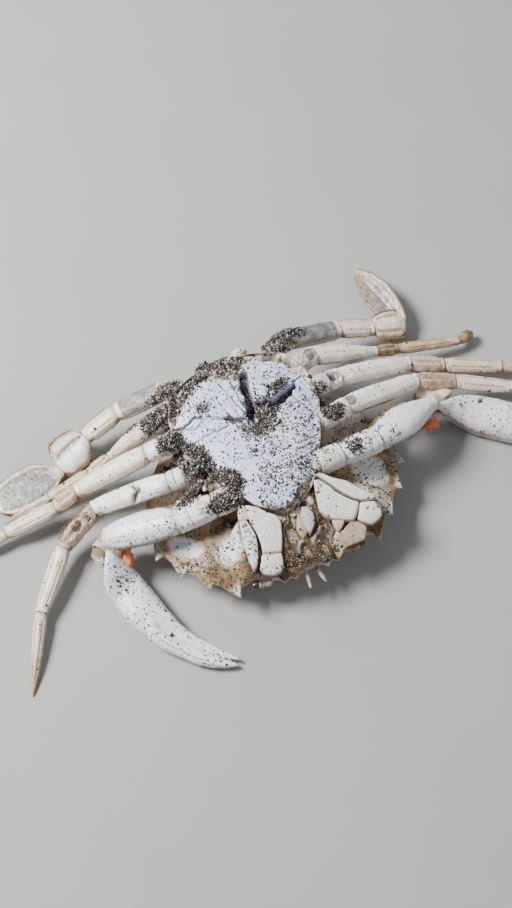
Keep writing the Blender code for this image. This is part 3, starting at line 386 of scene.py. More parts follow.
# Dried skin and flesh at the wrists, and lumps round the mouth and between the limb roots: middle, half
# sizes, heading, finish and masks. Each is an oval body of so many rings and points round a ring.
BALL_RINGS = 40
BALL_AROUND = 48
LUMPS = {
    "claw_left_skin": ((-57.6, 3.2, 9.0), (4.6, 3.4, 3.0), 20, "skin", dict(tint=0.2, grey=0.35, cream=0.3)),
    "claw_left_flesh": ((-58.0, -0.7, 9.2), (2.9, 4.9, 2.8), 8, "flesh", {}),
    "claw_left_tendon": ((-60.6, 3.2, 10.6), (4.2, 1.2, 1.2), -30, "skin", dict(cream=1.0)),
    "claw_right_skin": ((65.8, 6.4, 8.8), (6.6, 3.4, 3.2), -6, "skin", dict(tint=0.2, grey=0.25, cream=0.6)),
    "claw_right_flesh": ((65.8, 3.6, 8.4), (3.4, 2.9, 2.9), 0, "flesh", {}),
    "mouth_lump_1": ((1.0, -14.6, 24.6), (2.4, 2.2, 1.5), 20, "jaw", dict(cream=0.8, tint=0.2, grit=0.4)),
    "mouth_lump_2": ((7.0, -12.6, 25.2), (2.6, 1.6, 1.5), -60, "jaw", dict(grey=0.3, tint=0.25, grit=0.9)),
    "mouth_lump_3": ((12.6, -27.0, 18.8), (3.0, 1.6, 1.6), 10, "jaw", dict(tint=0.5, cream=0.5, grit=0.8)),
    "root_lump_1": ((-29.5, 5.0, 27.0), (6.4, 1.1, 1.6), 18, "leg", dict(cream=1.0, tint=0.25, grit=0.8)),
    "root_lump_2": ((-21.0, 5.4, 29.4), (4.8, 1.4, 1.5), 30, "leg", dict(cream=1.0, tint=0.1, grit=0.7)),
    "root_lump_3": ((-27.5, -2.4, 27.4), (3.6, 3.2, 2.6), 0, "leg", dict(grey=0.4, grit=0.9, dark=0.15)),
    "rear_lump_1": ((-6.5, 49.0, 25.0), (3.4, 2.6, 3.0), 40, "skin", dict(grey=0.5, tint=0.3, grit=0.8)),
    "rear_lump_2": ((8.0, 50.0, 25.6), (3.0, 2.2, 3.2), 0, "skin", dict(cream=0.7, grit=0.6)),
    "rear_lump_3": ((-17.5, 45.5, 26.4), (4.0, 2.4, 2.4), -30, "skin", dict(tint=0.4, dark=0.2, grit=1.0)),
    "rear_lump_4": ((24.0, 46.0, 26.4), (4.4, 2.6, 2.8), 10, "skin", dict(grey=0.4, cream=0.4, grit=1.0)),
}

# Plates on the mouth frame: the node each one stands for, its thickness, how high it lies, its masks
# and its outline. A plate with a height of its own lies flat.
PLATES = {
    "exopod_left": ("exopod_left", 2.4, None, dict(), [
        (-18.2, -11.7), (-15.9, -12.4), (-15.3, -14.4), (-14.9, -17.5), (-15.6, -21.2), (-17, -24.8),
        (-18.7, -27.4), (-19.8, -27.8), (-20, -24.5), (-19.6, -18.5)]),
    "jaw_left_basis": (None, 1.9, None, dict(cream=0.5, grit=0.3), [
        (-16.8, -7.6), (-14.9, -7.6), (-14.9, -11.6), (-15.6, -11.9), (-18.2, -11.2)]),
    "jaw_left_base": ("maxilliped_left", 2.5, None, dict(), [
        (-14.3, -7.8), (-10.7, -9.7), (-8.3, -12.2), (-5.8, -14.2), (-5.0, -16.8), (-6.2, -20.7),
        (-8.5, -25.6), (-12.3, -24.7), (-14.7, -23.9), (-14.0, -20.4), (-14.0, -16.8), (-14.6, -14.3),
        (-14.8, -11.6)]),
    "jaw_left_end": (None, 2.2, None, dict(cream=0.3, grit=0.2), [
        (-15.1, -24.3), (-12.4, -25.1), (-8.8, -26.1), (-9.7, -29.7), (-11.1, -31.2), (-13.7, -31.4),
        (-16.5, -30.2), (-17.5, -28.1), (-16.1, -26.0)]),
    "exopod_right": ("exopod_right", 2.4, None, dict(), [
        (11.9, -5.6), (15, -7.4), (17.2, -9.5), (22.1, -12.8), (25.5, -16.6), (29.5, -20.4), (28.7, -21.2),
        (24.4, -19.9), (22, -18.2), (19.6, -15.7), (17.6, -13.2), (14.8, -9.6), (12.5, -7.2)]),
    "jaw_right_base": ("maxilliped_right", 2.5, None, dict(), [
        (11.5, -7.6), (14, -10), (15.8, -12.3), (16.6, -14.1), (18.7, -16.6), (21.5, -19.1), (23.3, -20.3),
        (21.5, -22.9), (19.4, -25), (17.9, -24.6), (14.3, -23), (11, -20.9), (9.4, -18), (10.1, -13.3)]),
    "jaw_right_end": (None, 2.2, None, dict(cream=0.2), [
        (24, -20.6), (28.8, -22), (29.6, -23.9), (29.3, -26.4), (27.8, -27.6), (24.8, -28.1), (22.6, -26.8),
        (20.9, -25.1), (22.3, -23)]),
    "jaw_right_wedge": (None, 1.6, None, dict(cream=0.8, tint=0.3, grit=0.3), [
        (12.3, -22.4), (15.8, -23.9), (14.9, -25.1), (12.7, -26.4), (12.1, -24.8)]),
    "mandible_left": ("mandibles", 2.2, None, dict(blue=0.5, grey=0.35, grit=-0.1), [
        (3.7, -14.8), (5.6, -15.5), (6.6, -18), (6.2, -20.6), (3.1, -23.9), (2.4, -20.5), (2.4, -17.6)]),
    "mandible_strip": (None, 1.9, None, dict(tint=0.5, cream=0.6, blush=0.2, dark=0.1), [
        (2.4, -15.8), (3.0, -17.6), (2.6, -22.6), (0.2, -24.4), (-0.6, -21.0), (0.8, -17.6)]),
    "orbit_plate": (None, 1.2, None, dict(cream=0.4, tint=0.5, grey=0.3, dark=0.12, grit=0.6), [
        (19.1, -24.6), (22.6, -27.9), (22, -29.6), (20.4, -31.6), (16.3, -31.6), (13.8, -31.7),
        (11.8, -32.6), (9.7, -34.4), (9.1, -31.8), (8.9, -29.2), (10.8, -28.2)]),
    "wrist_lens": (None, 3.2, 9.4, dict(cream=0.8, tint=0.1), [
        (64.1, 15.4), (66.8, 16.4), (71.7, 15.6), (75.7, 13.5), (77.9, 11.2), (73.8, 9.7), (70, 9.4),
        (66.1, 12)]),
}
PLATE_RINGS = 52
PLATE_POINTS = 180
MOUTH_BED = [
    (-3.6, -15), (3.3, -12.6), (9.4, -11.6), (12.4, -19), (14, -26.4), (8, -30.4), (-2, -31), (-8.8, -30),
]

# Tail flap: inside and outside of its band, as distance to the rear and height. Its inside lies on the
# rear of the thorax, and its rings meet at places between the stations of its outside.
TAIL_HALF = 9.4
TAIL_ROUND = 0.9
TAIL_WALL = 47.35
TAIL_RINGS = (0.7, 1.6, 2.6)
TAIL_STEPS = (25, 60)
TAIL_SLICES = 90
TAIL_INSIDE = [(42.6, 12.8), (42.6, 17.4), (TAIL_WALL, 17.4), (TAIL_WALL, 23), (TAIL_WALL, 29)]
TAIL_OUTSIDE = [(49, 28.4), (51.2, 24), (51, 18.5), (48.4, 14.4), (44.6, 12.2)]

# Eyes and feelers of the right side: path and radii of each stalk, and the eye's middle and half sizes
EYE_PATH = [
    (13.6, -28.9, 12.5), (14.4, -30.4, 12.4), (15.8, -31.6, 12.4), (17.6, -31.1, 12.3), (19.3, -30.7, 12.2),
]
EYE_RADII = [0.9, 1.0, 1.0, 1.1, 1.2]
EYE_BALL = ((20.0, -30.1, 12.0), (1.8, 1.5, 1.5))
FEELER_PATH = [(2.1, -31.6, 12.4), (2.3, -34.9, 12.3), (2.6, -36.6, 12.2), (3.0, -38.6, 12.0)]
FEELER_RADII = [0.8, 0.75, 0.7, 0.35]

# Sand on the crab: middle, half sizes, turn, number of grains and pile height; a sprinkle has no turn
# and no pile
CLUMPS = [
    (-23.6, 13, 5.0, 9.0, 12, 3300, 1.5), (-29, 24, 5, 5, 0, 900, 1.2), (-15.6, 2.6, 3.0, 5.6, 32, 900, 1.0),
    (-20, -4.4, 5.6, 3.8, -10, 1300, 1.2), (-28, 38, 8.5, 5, 20, 1600, 1.2), (-24, 45, 7, 4, 20, 1000, 1.2),
    (-37, 42, 5, 3, 30, 420, 0.8), (23, 48, 7, 5, 10, 1200, 1.1), (30, 53, 5, 3, -10, 400, 0.8),
    (6, 22.5, 6, 3.4, 10, 900, 0.8), (29, 13.5, 4.4, 3.4, 0, 620, 0.9), (27, 4, 3.5, 3, 0, 300, 0.7),
    (2, 18, 7, 5, 0, 700, 0.4), (-6, 49, 9, 3, 0, 700, 1.0), (14, 29, 5, 2.4, 20, 320, 0.6),
    (-14, 31, 2.4, 1.8, 0, 160, 0.4), (-31, 2.5, 5, 1.4, 10, 260, 0.5), (30, -2, 3, 3, 0, 160, 0.6),
    (-6, -30, 6, 1.4, 0, 90, 0.3), (6, -31, 6, 1.2, 0, 90, 0.3), (-14, 42, 8, 3, 30, 500, 0.6),
    (2, 44, 7, 3, 0, 420, 0.6), (3, 25.5, 3.6, 3.4, 0, 520, 0.8), (28, 22, 3, 4, 0, 300, 0.6),
    (-30, 5, 4, 2, 20, 260, 0.5), (-61, -10, 2.6, 4, -30, 40, 0.2),
]
SPRINKLES = [
    (8, 9, 14, 13, 900), (2, -6, 11, 7, 450), (-12, 12, 8, 10, 60), (-52, -24, 16, 26, 300),
    (94, -18, 20, 26, 200), (0, 32, 22, 10, 420), (0, 0, 100, 60, 900), (-30, -22, 16, 9, 420),
    (37, -6, 12, 18, 420), (3, -24, 9, 7, 60),
]

# Rows of bristles: piece, angle, angular spread, number, share of the full length, where the row starts
# and ends
FRINGES = [
    ("paddle_leg_left_propodus", 0, 9, 700, 0.95, 0.25, 0.95),
    ("paddle_leg_left_propodus", 180, 8, 420, 0.7, 0.1, 0.98),
    ("paddle_leg_right_propodus", 0, 9, 420, 0.9, 0.1, 0.98),
    ("paddle_leg_right_propodus", 180, 9, 420, 0.7, 0.1, 0.98),
    ("claw_right_arm", 175, 14, 700, 0.8, 0.02, 0.6), ("claw_right_arm", 0, 10, 240, 0.5, 0.1, 0.9),
    ("claw_left_arm", 180, 12, 420, 0.7, 0.02, 0.8), ("claw_left_arm", 0, 10, 300, 0.5, 0.1, 0.9),
    ("leg_2_left_carpus", 120, 40, 420, 0.9, 0.05, 0.95), ("leg_2_right_merus", 0, 9, 260, 0.5, 0.05, 0.6),
    ("leg_4_right_dactyl", 90, 60, 160, 0.5, 0.5, 0.98),
]
FELT_TRIES = 9000
BEARD_COUNT = 1200
BEARD_PLACES = 400
# Grains are dropped from this height in metres, and stay only where the surface faces upwards by so much.
DROP_HEIGHT = 0.06
DROP_FACING = 0.25

# The rounded start of a limb piece is nested in the rim before it. The rim of its own open end folds
# inwards in steps: size and shift along the piece. A piece of the full length has all its rows.
END_RINGS = 8
FULL_ROWS_LENGTH = 22
RIM_STEPS = ((0.97, 0.1), (0.9, 0.12), (0.84, 0.02), (0.8, -0.6), (0.76, -1.2))


class CrabSizes(bpy.types.PropertyGroup):
    """Sizes that set how fine the shell, its bristles and its sand are."""

    rows: IntProperty(
        name="Rows per limb piece", description="Rings along each piece of a limb", default=90,
        min=12, max=200)
    around: IntProperty(
        name="Points round a limb", description="Points round each piece of a limb", default=72,
        min=12, max=160)
    shell_points: IntProperty(
        name="Points round the shell", description="Points along the shell's edge", default=760,
        min=90, max=1600)
    bump: FloatProperty(
        name="Unevenness", description="Height of the uneven surface of a shell piece", default=0.00008,
        min=0, max=0.001, subtype="DISTANCE", unit="LENGTH")
    grain: FloatProperty(
        name="Sand grain", description="Radius of a grain of sand", default=0.0003, min=0.0001, max=0.001,
        subtype="DISTANCE", unit="LENGTH")
    bristle_length: FloatProperty(
        name="Bristle length", description="Length of a bristle of a paddle's fringe", default=0.0022,
        min=0.0005, max=0.01, subtype="DISTANCE", unit="LENGTH")
    bristle_width: FloatProperty(
        name="Bristle width", description="Radius of a bristle at its root", default=0.00006,
        min=0.00002, max=0.0005, subtype="DISTANCE", unit="LENGTH")


def colour_property(name, description, default):
    return FloatVectorProperty(
        name=name, description=description, default=default, size=3, min=0, max=1, subtype="COLOR")


class CrabColours(bpy.types.PropertyGroup):
    """Colours of the shell and its stains, of the flesh, bristles and eyes, and of the studio floor."""

    porcelain: colour_property("Porcelain", "Clean shell of the claws, legs and jaws", (0.90, 0.885, 0.85))
    bluish: colour_property("Bluish white", "Thin shell of the thorax and the hollows", (0.57, 0.62, 0.82))
    cream: colour_property("Cream", "Yellowish shell of the outer leg pieces", (0.74, 0.64, 0.45))
    tan: colour_property("Tan", "Stained shell at edges and joints", (0.40, 0.25, 0.11))
    # Brown also paints shade: it darkens the joints, grooves, holes, cracks, the gaps round the jaw plates
    # and the folds of the mouth skin.
    brown: colour_property("Brown", "Dirt in grooves and dried skin", (0.055, 0.030, 0.016))
    flesh: colour_property("Orange flesh", "Flesh that shows at the wrists", (0.72, 0.13, 0.045))
    rose: colour_property("Pinkish brown", "Thin shell with dried flesh below it", (0.45, 0.28, 0.21))
    # Grey also paints shade on the right palm's lower side.
    grey: colour_property("Grey horn", "Thin clear shell of the paddles", (0.135, 0.13, 0.13))
    bristle: colour_property("Bristle", "Bristles and felt", (0.24, 0.14, 0.065))
    # The eyes are near black: their own dark colour, and the painted shade of the orbit they sit in.
    eye: colour_property("Eye", "Eyes", (0.02, 0.013, 0.012))
    floor: colour_property("Floor", "Studio floor", (0.34, 0.34, 0.33))


# Measures and noise
def unit(vector):
    return vector / np.linalg.norm(vector, axis=-1, keepdims=True)


def soft_step(value, low, high):
    part = np.clip((value - low) / (high - low), 0, 1)
    return part * part * (3 - 2 * part)


def hill(value, middle, width):
    return np.exp(-((value - middle) / width) ** 2)


def eased(at, places, values, blur=0.05):
    """Reads a value between stations, with the corners at the stations rounded off."""
    fine = np.linspace(places[0], places[-1], EASE_STEPS + 1)
    raw = np.interp(fine, places, values)
    half = max(int(EASE_STEPS * blur / 2), 1)
    kernel = np.hanning(2 * half + 3)[1:-1]
    before = 2 * raw[0] - raw[half:0:-1]
    after = 2 * raw[-1] - raw[-2:-half - 2:-1]
    smooth = np.convolve(np.concatenate([before, raw, after]), kernel / kernel.sum(), mode="valid")
    return np.interp(at, fine, smooth)


def lumps(points, size, seed=0):
    """Smooth noise from -1 to 1 at points in millimetres, with lumps of about the given size."""
    scaled = np.asarray(points, float) / size + 1000
    cell = np.floor(scaled).astype(np.int64)
    part = scaled - cell
    part = part * part * (3 - 2 * part)
    total = np.zeros(scaled.shape[:-1])
    for corner in range(8):
        step = np.array([corner & 1, corner >> 1 & 1, corner >> 2 & 1])
        key = cell + step
        mixed = key[..., 0] * 73856093 ^ key[..., 1] * 19349663 ^ key[..., 2] * 83492791 ^ (seed + 1) * 40503
        mixed = (mixed ^ mixed >> 13) * 1274126177 & 0x7FFFFFFF
        mixed = mixed ^ mixed >> 15
        weight = np.prod(np.where(step, part, 1 - part), axis=-1)
        total += weight * ((mixed & 0xFFFF) / 32767.5 - 1)
    return total


def wander(points, size, seed):
    """Smooth uneven shifts in plan, from -1 to 1 each way."""
    return np.stack([lumps(points, size, seed), lumps(points, size, seed + 1)], -1)


def clouds(points):
    """Smooth noise with large lumps and half as strong small ones."""
    return lumps(points, 5, 3) + 0.5 * lumps(points, 2.2, 4)


def with_height(flat, height=0.0):
    return np.concatenate([flat, np.full(flat.shape[:-1] + (1,), height)], axis=-1)


def line_distance(points, line):
    """Distance from points to a line of several stretches, in the same plane."""
    least = np.full(points.shape[:-1], np.inf)
    for a, b in zip(line, line[1:]):
        a, b = np.array(a, float), np.array(b, float)
        along = np.clip(((points - a) @ (b - a)) / ((b - a) @ (b - a)), 0, 1)
        gap = points - (a + along[..., None] * (b - a))
        least = np.minimum(least, np.hypot(gap[..., 0], gap[..., 1]))
    return least


def depth_inside(points, outline):
    """Distance of points to an outline, positive inside it and negative outside."""
    outline = [np.array(p, float) for p in outline]
    inside = np.zeros(points.shape[:-1], bool)
    x, y = points[..., 0], points[..., 1]
    for a, b in zip(outline, outline[1:] + outline[:1]):
        if a[1] != b[1]:
            crosses = (a[1] > y) != (b[1] > y)
            inside ^= crosses & (x < (b[0] - a[0]) * (y - a[1]) / (b[1] - a[1]) + a[0])
    return np.where(inside, 1, -1) * line_distance(points, outline + outline[:1])


def oval_reach(points, x, y, half_x, half_y, turn=0.0):
    """How far points lie from the middle of an oval, 1 on its edge."""
    c, s = math.cos(math.radians(turn)), math.sin(math.radians(turn))
    dx, dy = points[..., 0] - x, points[..., 1] - y
    return np.hypot((dx * c + dy * s) / half_x, (dy * c - dx * s) / half_y)


def smooth_loop(points, count, round_off=0.5):
    """A closed curve through the points, read evenly along its length."""
    points = np.array(points, float)
    t = np.linspace(0, 1, LOOP_STEPS, endpoint=False)[:, None]
    fine = []
    for i in range(len(points)):
        a, b, c, d = (points[(i + k) % len(points)] for k in (-1, 0, 1, 2))
        m0, m1 = round_off * (c - a), round_off * (d - b)
        fine.append(b + m0 * t + (3 * (c - b) - 2 * m0 - m1) * t ** 2 + (2 * (b - c) + m0 + m1) * t ** 3)
    fine = np.concatenate(fine + [points[:1]])
    length = np.concatenate([[0], np.cumsum(np.linalg.norm(np.diff(fine, axis=0), axis=1))])
    wanted = np.linspace(0, length[-1], count, endpoint=False)
    return np.stack([np.interp(wanted, length, fine[:, i]) for i in range(fine.shape[1])], axis=-1)


# Meshes and finishes
def add_piece(name, points, faces, material, masks=None):
    """A mesh object from points in millimetres, its faces turned outwards, with masks for its finish."""
    corners = np.array([(f[0], f[i], f[i + 1]) for f in faces for i in range(1, len(f) - 1)])
    a, b, c = (points[corners[:, i]] for i in range(3))
    if np.einsum("ij,ij->i", a, np.cross(b, c)).sum() < 0:
        faces = [f[::-1] for f in faces]
    mesh = bpy.data.meshes.new(name)
    mesh.from_pydata(points * MM, [], faces)
    for key, values in (masks or {}).items():
        layer = mesh.attributes.new(key, "FLOAT", "POINT")
        layer.data.foreach_set("value", np.clip(values, 0, 1).astype(np.float32))
    mesh.materials.append(material)
    mesh.shade_smooth()
    piece = bpy.data.objects.new(name, mesh)
    bpy.context.scene.collection.objects.link(piece)
    return piece


def add_tube(name, rings, material, masks=None):
    """A closed piece through rings, with a fan of faces over each end. A mask that isn't given is 0."""
    rows, around = rings.shape[:2]
    points = np.concatenate([rings.reshape(-1, 3), [rings[0].mean(0)], [rings[-1].mean(0)]])
    points[:, 2] = np.maximum(points[:, 2], 0)
    first, last = rows * around, rows * around + 1
    j = np.arange(around)
    k = (j + 1) % around
    starts = np.arange(rows - 1)[:, None] * around
    quads = np.stack([starts + j, starts + k, starts + around + k, starts + around + j], axis=-1)
    top = (rows - 1) * around
    faces = quads.reshape(-1, 4).tolist() + np.stack([k, j, np.full(around, first)], -1).tolist()
    faces += np.stack([top + j, top + k, np.full(around, last)], -1).tolist()
    spread = {}
    for key in MASKS:
        flat = np.broadcast_to((masks or {}).get(key, 0.0), (rows, around)).reshape(-1)
        spread[key] = np.concatenate([flat, [flat[:around].mean()], [flat[-around:].mean()]])
    return add_piece(name, points, faces, material, spread)


def settle(piece, node=None):
    """Says which body a piece rides on, and hides the solid it stands for."""
    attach(piece, "root")
    if node:
        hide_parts(node)


class Finish:
    """Builds one material's nodes."""

    def __init__(self, name):
        self.material = bpy.data.materials.new(name)
        self.material.use_nodes = True
        self.tree = self.material.node_tree
        self.shader = self.tree.nodes["Principled BSDF"]
        place = self.add("ShaderNodeTexCoord").outputs["Object"]
        scaled = self.add("ShaderNodeVectorMath", operation="SCALE")
        self.feed(scaled.inputs[0], place)
        scaled.inputs["Scale"].default_value = 1 / MM
        self.place = scaled.outputs[0]

    def add(self, kind, **settings):
        node = self.tree.nodes.new(kind)
        for key, value in settings.items():
            setattr(node, key, value)
        return node

    def feed(self, socket, value):
        if isinstance(value, bpy.types.NodeSocket):
            self.tree.links.new(value, socket)
        else:
            socket.default_value = value

    def maths(self, operation, a, b=0.0, clamp=False):
        node = self.add("ShaderNodeMath", operation=operation, use_clamp=clamp)
        self.feed(node.inputs[0], a)
        self.feed(node.inputs[1], b)
        return node.outputs[0]

    def mix(self, part, a, b):
        node = self.add("ShaderNodeMix", data_type="RGBA")
        self.feed(node.inputs["Factor"], part)
        for key, value in (("A", a), ("B", b)):
            socket = next(s for s in node.inputs if s.name == key and s.type == "RGBA")
            self.feed(socket, value if isinstance(value, bpy.types.NodeSocket) else (*value, 1))
        return next(s for s in node.outputs if s.type == "RGBA")

    def ramp(self, value, low, high, out_low=0.0, out_high=1.0):
        node = self.add("ShaderNodeMapRange", interpolation_type="SMOOTHSTEP")
        for key, number in (("Value", value), ("From Min", low), ("From Max", high), ("To Min", out_low),
                            ("To Max", out_high)):
            self.feed(node.inputs[key], number)
        return node.outputs["Result"]

    def mask(self, name):
        return self.add("ShaderNodeAttribute", attribute_name=name).outputs["Fac"]

    def patchy(self, name, size, seed, low=0.5, high=1.3):
        """A mask made uneven by noise."""
        uneven = self.ramp(self.noise(size, 4, 0.5, seed), 0.3, 0.7, low, high)
        return self.maths("MULTIPLY", self.mask(name), uneven, True)

    def noise(self, size, detail=3.0, distortion=0.0, offset=0.0):
        node = self.add("ShaderNodeTexNoise")
        moved = self.add("ShaderNodeVectorMath", operation="ADD")
        self.feed(moved.inputs[0], self.place)
        moved.inputs[1].default_value = (offset, offset * 0.7, -offset)
        self.feed(node.inputs["Vector"], moved.outputs[0])
        for key, value in (("Scale", 1 / size), ("Detail", detail), ("Distortion", distortion)):
            self.feed(node.inputs[key], value)
        return node.outputs["Fac"]

    def cells(self, size, feature="F1", warp=0.0):
        place = self.place
        if warp:
            shift = self.add("ShaderNodeTexNoise")
            self.feed(shift.inputs["Vector"], self.place)
            self.feed(shift.inputs["Scale"], 0.5 / size)
            moved = self.add("ShaderNodeVectorMath", operation="MULTIPLY_ADD")
            self.feed(moved.inputs[0], shift.outputs["Color"])
            moved.inputs[1].default_value = (warp, warp, warp)
            self.feed(moved.inputs[2], self.place)
            place = moved.outputs[0]
        node = self.add("ShaderNodeTexVoronoi", feature=feature)
        self.feed(node.inputs["Vector"], place)
        self.feed(node.inputs["Scale"], 1 / size)
        return node

    def bump(self, height, distance, strength=1.0):
        node = self.add("ShaderNodeBump")
        node.inputs["Distance"].default_value = distance
        node.inputs["Strength"].default_value = strength
        self.feed(node.inputs["Height"], height)
        previous = self.shader.inputs["Normal"]
        if previous.is_linked:
            self.feed(node.inputs["Normal"], previous.links[0].from_socket)
        self.feed(previous, node.outputs["Normal"])


# How each kind of shell differs: second colour, roughness from and to, hair cracks, grains, gloss and
# how much light passes through
SHELLS = {
    "claw": ((0.80, 0.80, 0.81), (0.24, 0.42), 0.2, 1.0, 0.3, 0.0),
    "leg": ((0.80, 0.76, 0.67), (0.32, 0.52), 0.45, 0.9, 0.15, 0.0),
    "thorax": ((0.74, 0.77, 0.86), (0.36, 0.58), 0.55, 1.6, 0.08, 0.0),
    "shell": ((0.74, 0.70, 0.60), (0.45, 0.68), 0.25, 1.0, 0.06, 0.0),
    "jaw": ((0.84, 0.82, 0.77), (0.28, 0.46), 0.15, 0.5, 0.2, 0.0),
    "skin": ((0.34, 0.26, 0.18), (0.35, 0.6), 0.2, 1.3, 0.2, 0.1),
    "blade": ((0.70, 0.67, 0.60), (0.28, 0.48), 0.3, 1.0, 0.25, 0.12),
}
# Soft clouds of other colours in the shell's finish: mask, colour, size in mm, seed, and how far the
# noise lowers and raises the mask
CLOUDS = (
    ("blue", "bluish", 6, 2, 0.75, 1.1), ("cream", "cream", 4, 7, 0.5, 1.3),
    ("grey", "grey", 3.5, 11, 0.8, 1.05), ("blush", "rose", 2.2, 8, 0.5, 1.3),
)
# Small grains stuck flat on the shell, in two sizes: cell in mm, share and radius in cells
SPECKS = ((1.05, 1.0, 0.26), (0.62, 0.8, 0.26))
SPECK_SHARE = 0.34
SPECK_DARK = (0.022, 0.02, 0.018)
SPECK_TAN = (0.17, 0.12, 0.07)
# How far red, green and blue light scatters in the shell, in metres
SCATTER = (0.0012, 0.0009, 0.0006)


def shell_colour(f, second, colours):
    """The clean shell with clouds of its other colours, tan stains, and brown where it is dark: dirt, and
    painted shade in joints and crevices.
    """
    colour = f.mix(f.ramp(f.noise(9, 4, 0.4), 0.35, 0.68), colours.porcelain, second)
    for mask, name, size, seed, low, high in CLOUDS:
        colour = f.mix(f.patchy(mask, size, seed, low, high), colour, getattr(colours, name))
    blotch = f.maths("MULTIPLY", f.maths("SUBTRACT", f.noise(2.6, 5, 0.8, 5), 0.5), 1.8)
    much = f.ramp(f.mask("tint"), 0, 0.4, 0.12, 0.6)
    tint = f.maths("ADD", f.mask("tint"), f.maths("MULTIPLY", blotch, much), True)
    colour = f.mix(tint, colour, colours.tan)
    uneven = f.ramp(f.noise(0.55, 4, 1.2, 3), 0.2, 0.7, 1.3, 0.75)
    # The dark mask mixes in brown: dirt, and painted shade wherever the mask marks joints, grooves, holes and
    # crevices.
    return f.mix(f.maths("MULTIPLY", f.mask("dark"), uneven, True), colour, colours.brown)


def hair_cracks(f):
    """How much of a hair crack each place is; only some patches of the shell have them."""
    line = f.ramp(f.cells(7.5, "DISTANCE_TO_EDGE", 5.0).outputs["Distance"], 0.004, 0.018, 1, 0)
    return f.maths("MULTIPLY", line, f.ramp(f.noise(11, 2, 0.2, 21), 0.5, 0.62), True)


def stuck_grains(f, colour, speck):
    """The colour with small grains on it, and where they are."""
    grit, stuck = f.mask("grit"), None
    for size, share, radius in SPECKS:
        cell = f.cells(size)
        parts = f.add("ShaderNodeSeparateColor")
        f.feed(parts.inputs[0], cell.outputs["Color"])
        limit = f.maths("MULTIPLY", grit, SPECK_SHARE * share * speck)
        chosen = f.maths("LESS_THAN", parts.outputs[0], limit)
        grain = f.maths("MULTIPLY", f.ramp(cell.outputs["Distance"], radius, radius + 0.1, 1, 0), chosen)
        colour = f.mix(grain, colour, f.mix(f.ramp(parts.outputs[1], 0.68, 0.74), SPECK_DARK, SPECK_TAN))
        stuck = grain if stuck is None else f.maths("MAXIMUM", stuck, grain)
    return colour, stuck


def shell_finish(kind, colours):
    """Dried crab shell: a clean colour with soft clouds, stains, dirt and painted shade, hair cracks and
    stuck grains.
    """
    made = bpy.data.materials.get(f"{kind}_surface")
    if made:
        return made
    second, rough, cracks, speck, gloss, clear = SHELLS[kind]
    f = Finish(f"{kind}_surface")
    crack = hair_cracks(f)
    colour = shell_colour(f, second, colours)
    colour = f.mix(f.maths("MULTIPLY", crack, cracks), colour, colours.brown)
    colour, stuck = stuck_grains(f, colour, speck)
    colour = f.mix(f.ramp(f.noise(0.9, 4, 0.2, 30), 0.45, 0.75, 0, 0.14), colour, colours.brown)
    f.feed(f.shader.inputs["Base Color"], colour)
    wet = f.ramp(f.noise(4, 4, 0.3, 14), 0.3, 0.7, *rough)
    f.feed(f.shader.inputs["Roughness"], f.maths("ADD", wet, f.maths("MULTIPLY", stuck, 0.25), True))
    for key, value in (("Subsurface Weight", 0.08), ("Subsurface Radius", SCATTER), ("Coat Weight", gloss),
                       ("Coat Roughness", 0.3), ("Transmission Weight", clear)):
        f.shader.inputs[key].default_value = value
    f.bump(f.maths("SUBTRACT", f.noise(0.8, 5, 0.3, 17), f.maths("MULTIPLY", crack, 0.6)), 0.00014)
    f.bump(stuck, 0.00022)
    return f.material


def plain_finish(name, colour, second, size, rough, gloss=0.0, depth=0.0001):
    """A finish of two colours in soft patches, for bristles, flesh and eyes."""
    made = bpy.data.materials.get(name)
    if made:
        return made
    f = Finish(name)
    f.feed(f.shader.inputs["Base Color"], f.mix(f.ramp(f.noise(size, 4, 0.6), 0.3, 0.7), colour, second))
    f.shader.inputs["Roughness"].default_value = rough
    f.shader.inputs["Coat Weight"].default_value = gloss
    f.bump(f.noise(size * 0.3, 5, 0.5, 4), depth)
    return f.material


def darker(colour, part):
    return tuple(channel * part for channel in colour)


# Shell of the back
def belly_height(edge, ring):
    """Height of the shell's underside at rings of places, one for each point of its edge."""
    away = edge - BELLY_CENTRE
    scale = 1 / np.hypot(away[:, 0] / BELLY_HALF[0], away[:, 1] / BELLY_HALF[1])
    belly = BELLY_CENTRE + away * np.minimum(scale, BELLY_MOST)[:, None]
    reach = np.linalg.norm(edge - belly, axis=1)
    part = np.clip(np.linalg.norm(edge - ring, axis=-1) / reach, 0, 1)
    rim = SHELL_DEPTH + SHELL_RIM
    height = rim + (BELLY_HEIGHT - rim) * np.sin(part * math.pi / 2)
    inside = soft_step(depth_inside(ring, MOUTH_EDGE), *MOUTH_WALL)
    return height + np.maximum(mouth_height(ring[..., 1]) - 0.3 - height, 0) * inside


def toothed_edge(edge):
    """The shell's edge drawn out into its teeth, and how far along a tooth each point is."""
    count = len(edge)
    step = np.linalg.norm(np.roll(edge, -1, axis=0) - edge, axis=1).mean()
    moved, height = edge.copy(), np.zeros(count)
    for tips, half, back, drawn in TOOTH_ROWS:
        for tip in [np.array((side * x, y)) for x, y in tips for side in (-1, 1)]:
            spot = int(np.argmin(np.linalg.norm(edge - tip, axis=1)))
            tip = edge[spot] + (tip - edge[spot]) * drawn
            rearward = np.sign((edge[(spot + 1) % count] - edge[spot - 1])[1] or 1)
            away = ((np.arange(count) - spot + count // 2) % count - count // 2) * step * rearward
            front, rear = -(half - back), half + back
            at_front = edge[(spot + int(rearward * front / step)) % count]
            at_rear = edge[(spot + int(rearward * rear / step)) % count]
            fore = (away > front) & (away <= 0)
            aft = (away > 0) & (away < rear)
            part = np.where(fore, 1 - away / front, np.where(aft, 1 - away / rear, 0))
            start = np.where(fore[:, None], at_front, at_rear)
            use = fore | aft
            moved[use] = (start + (tip - start) * (part ** 2)[:, None])[use]
            height[use] = part[use]
    return moved, height


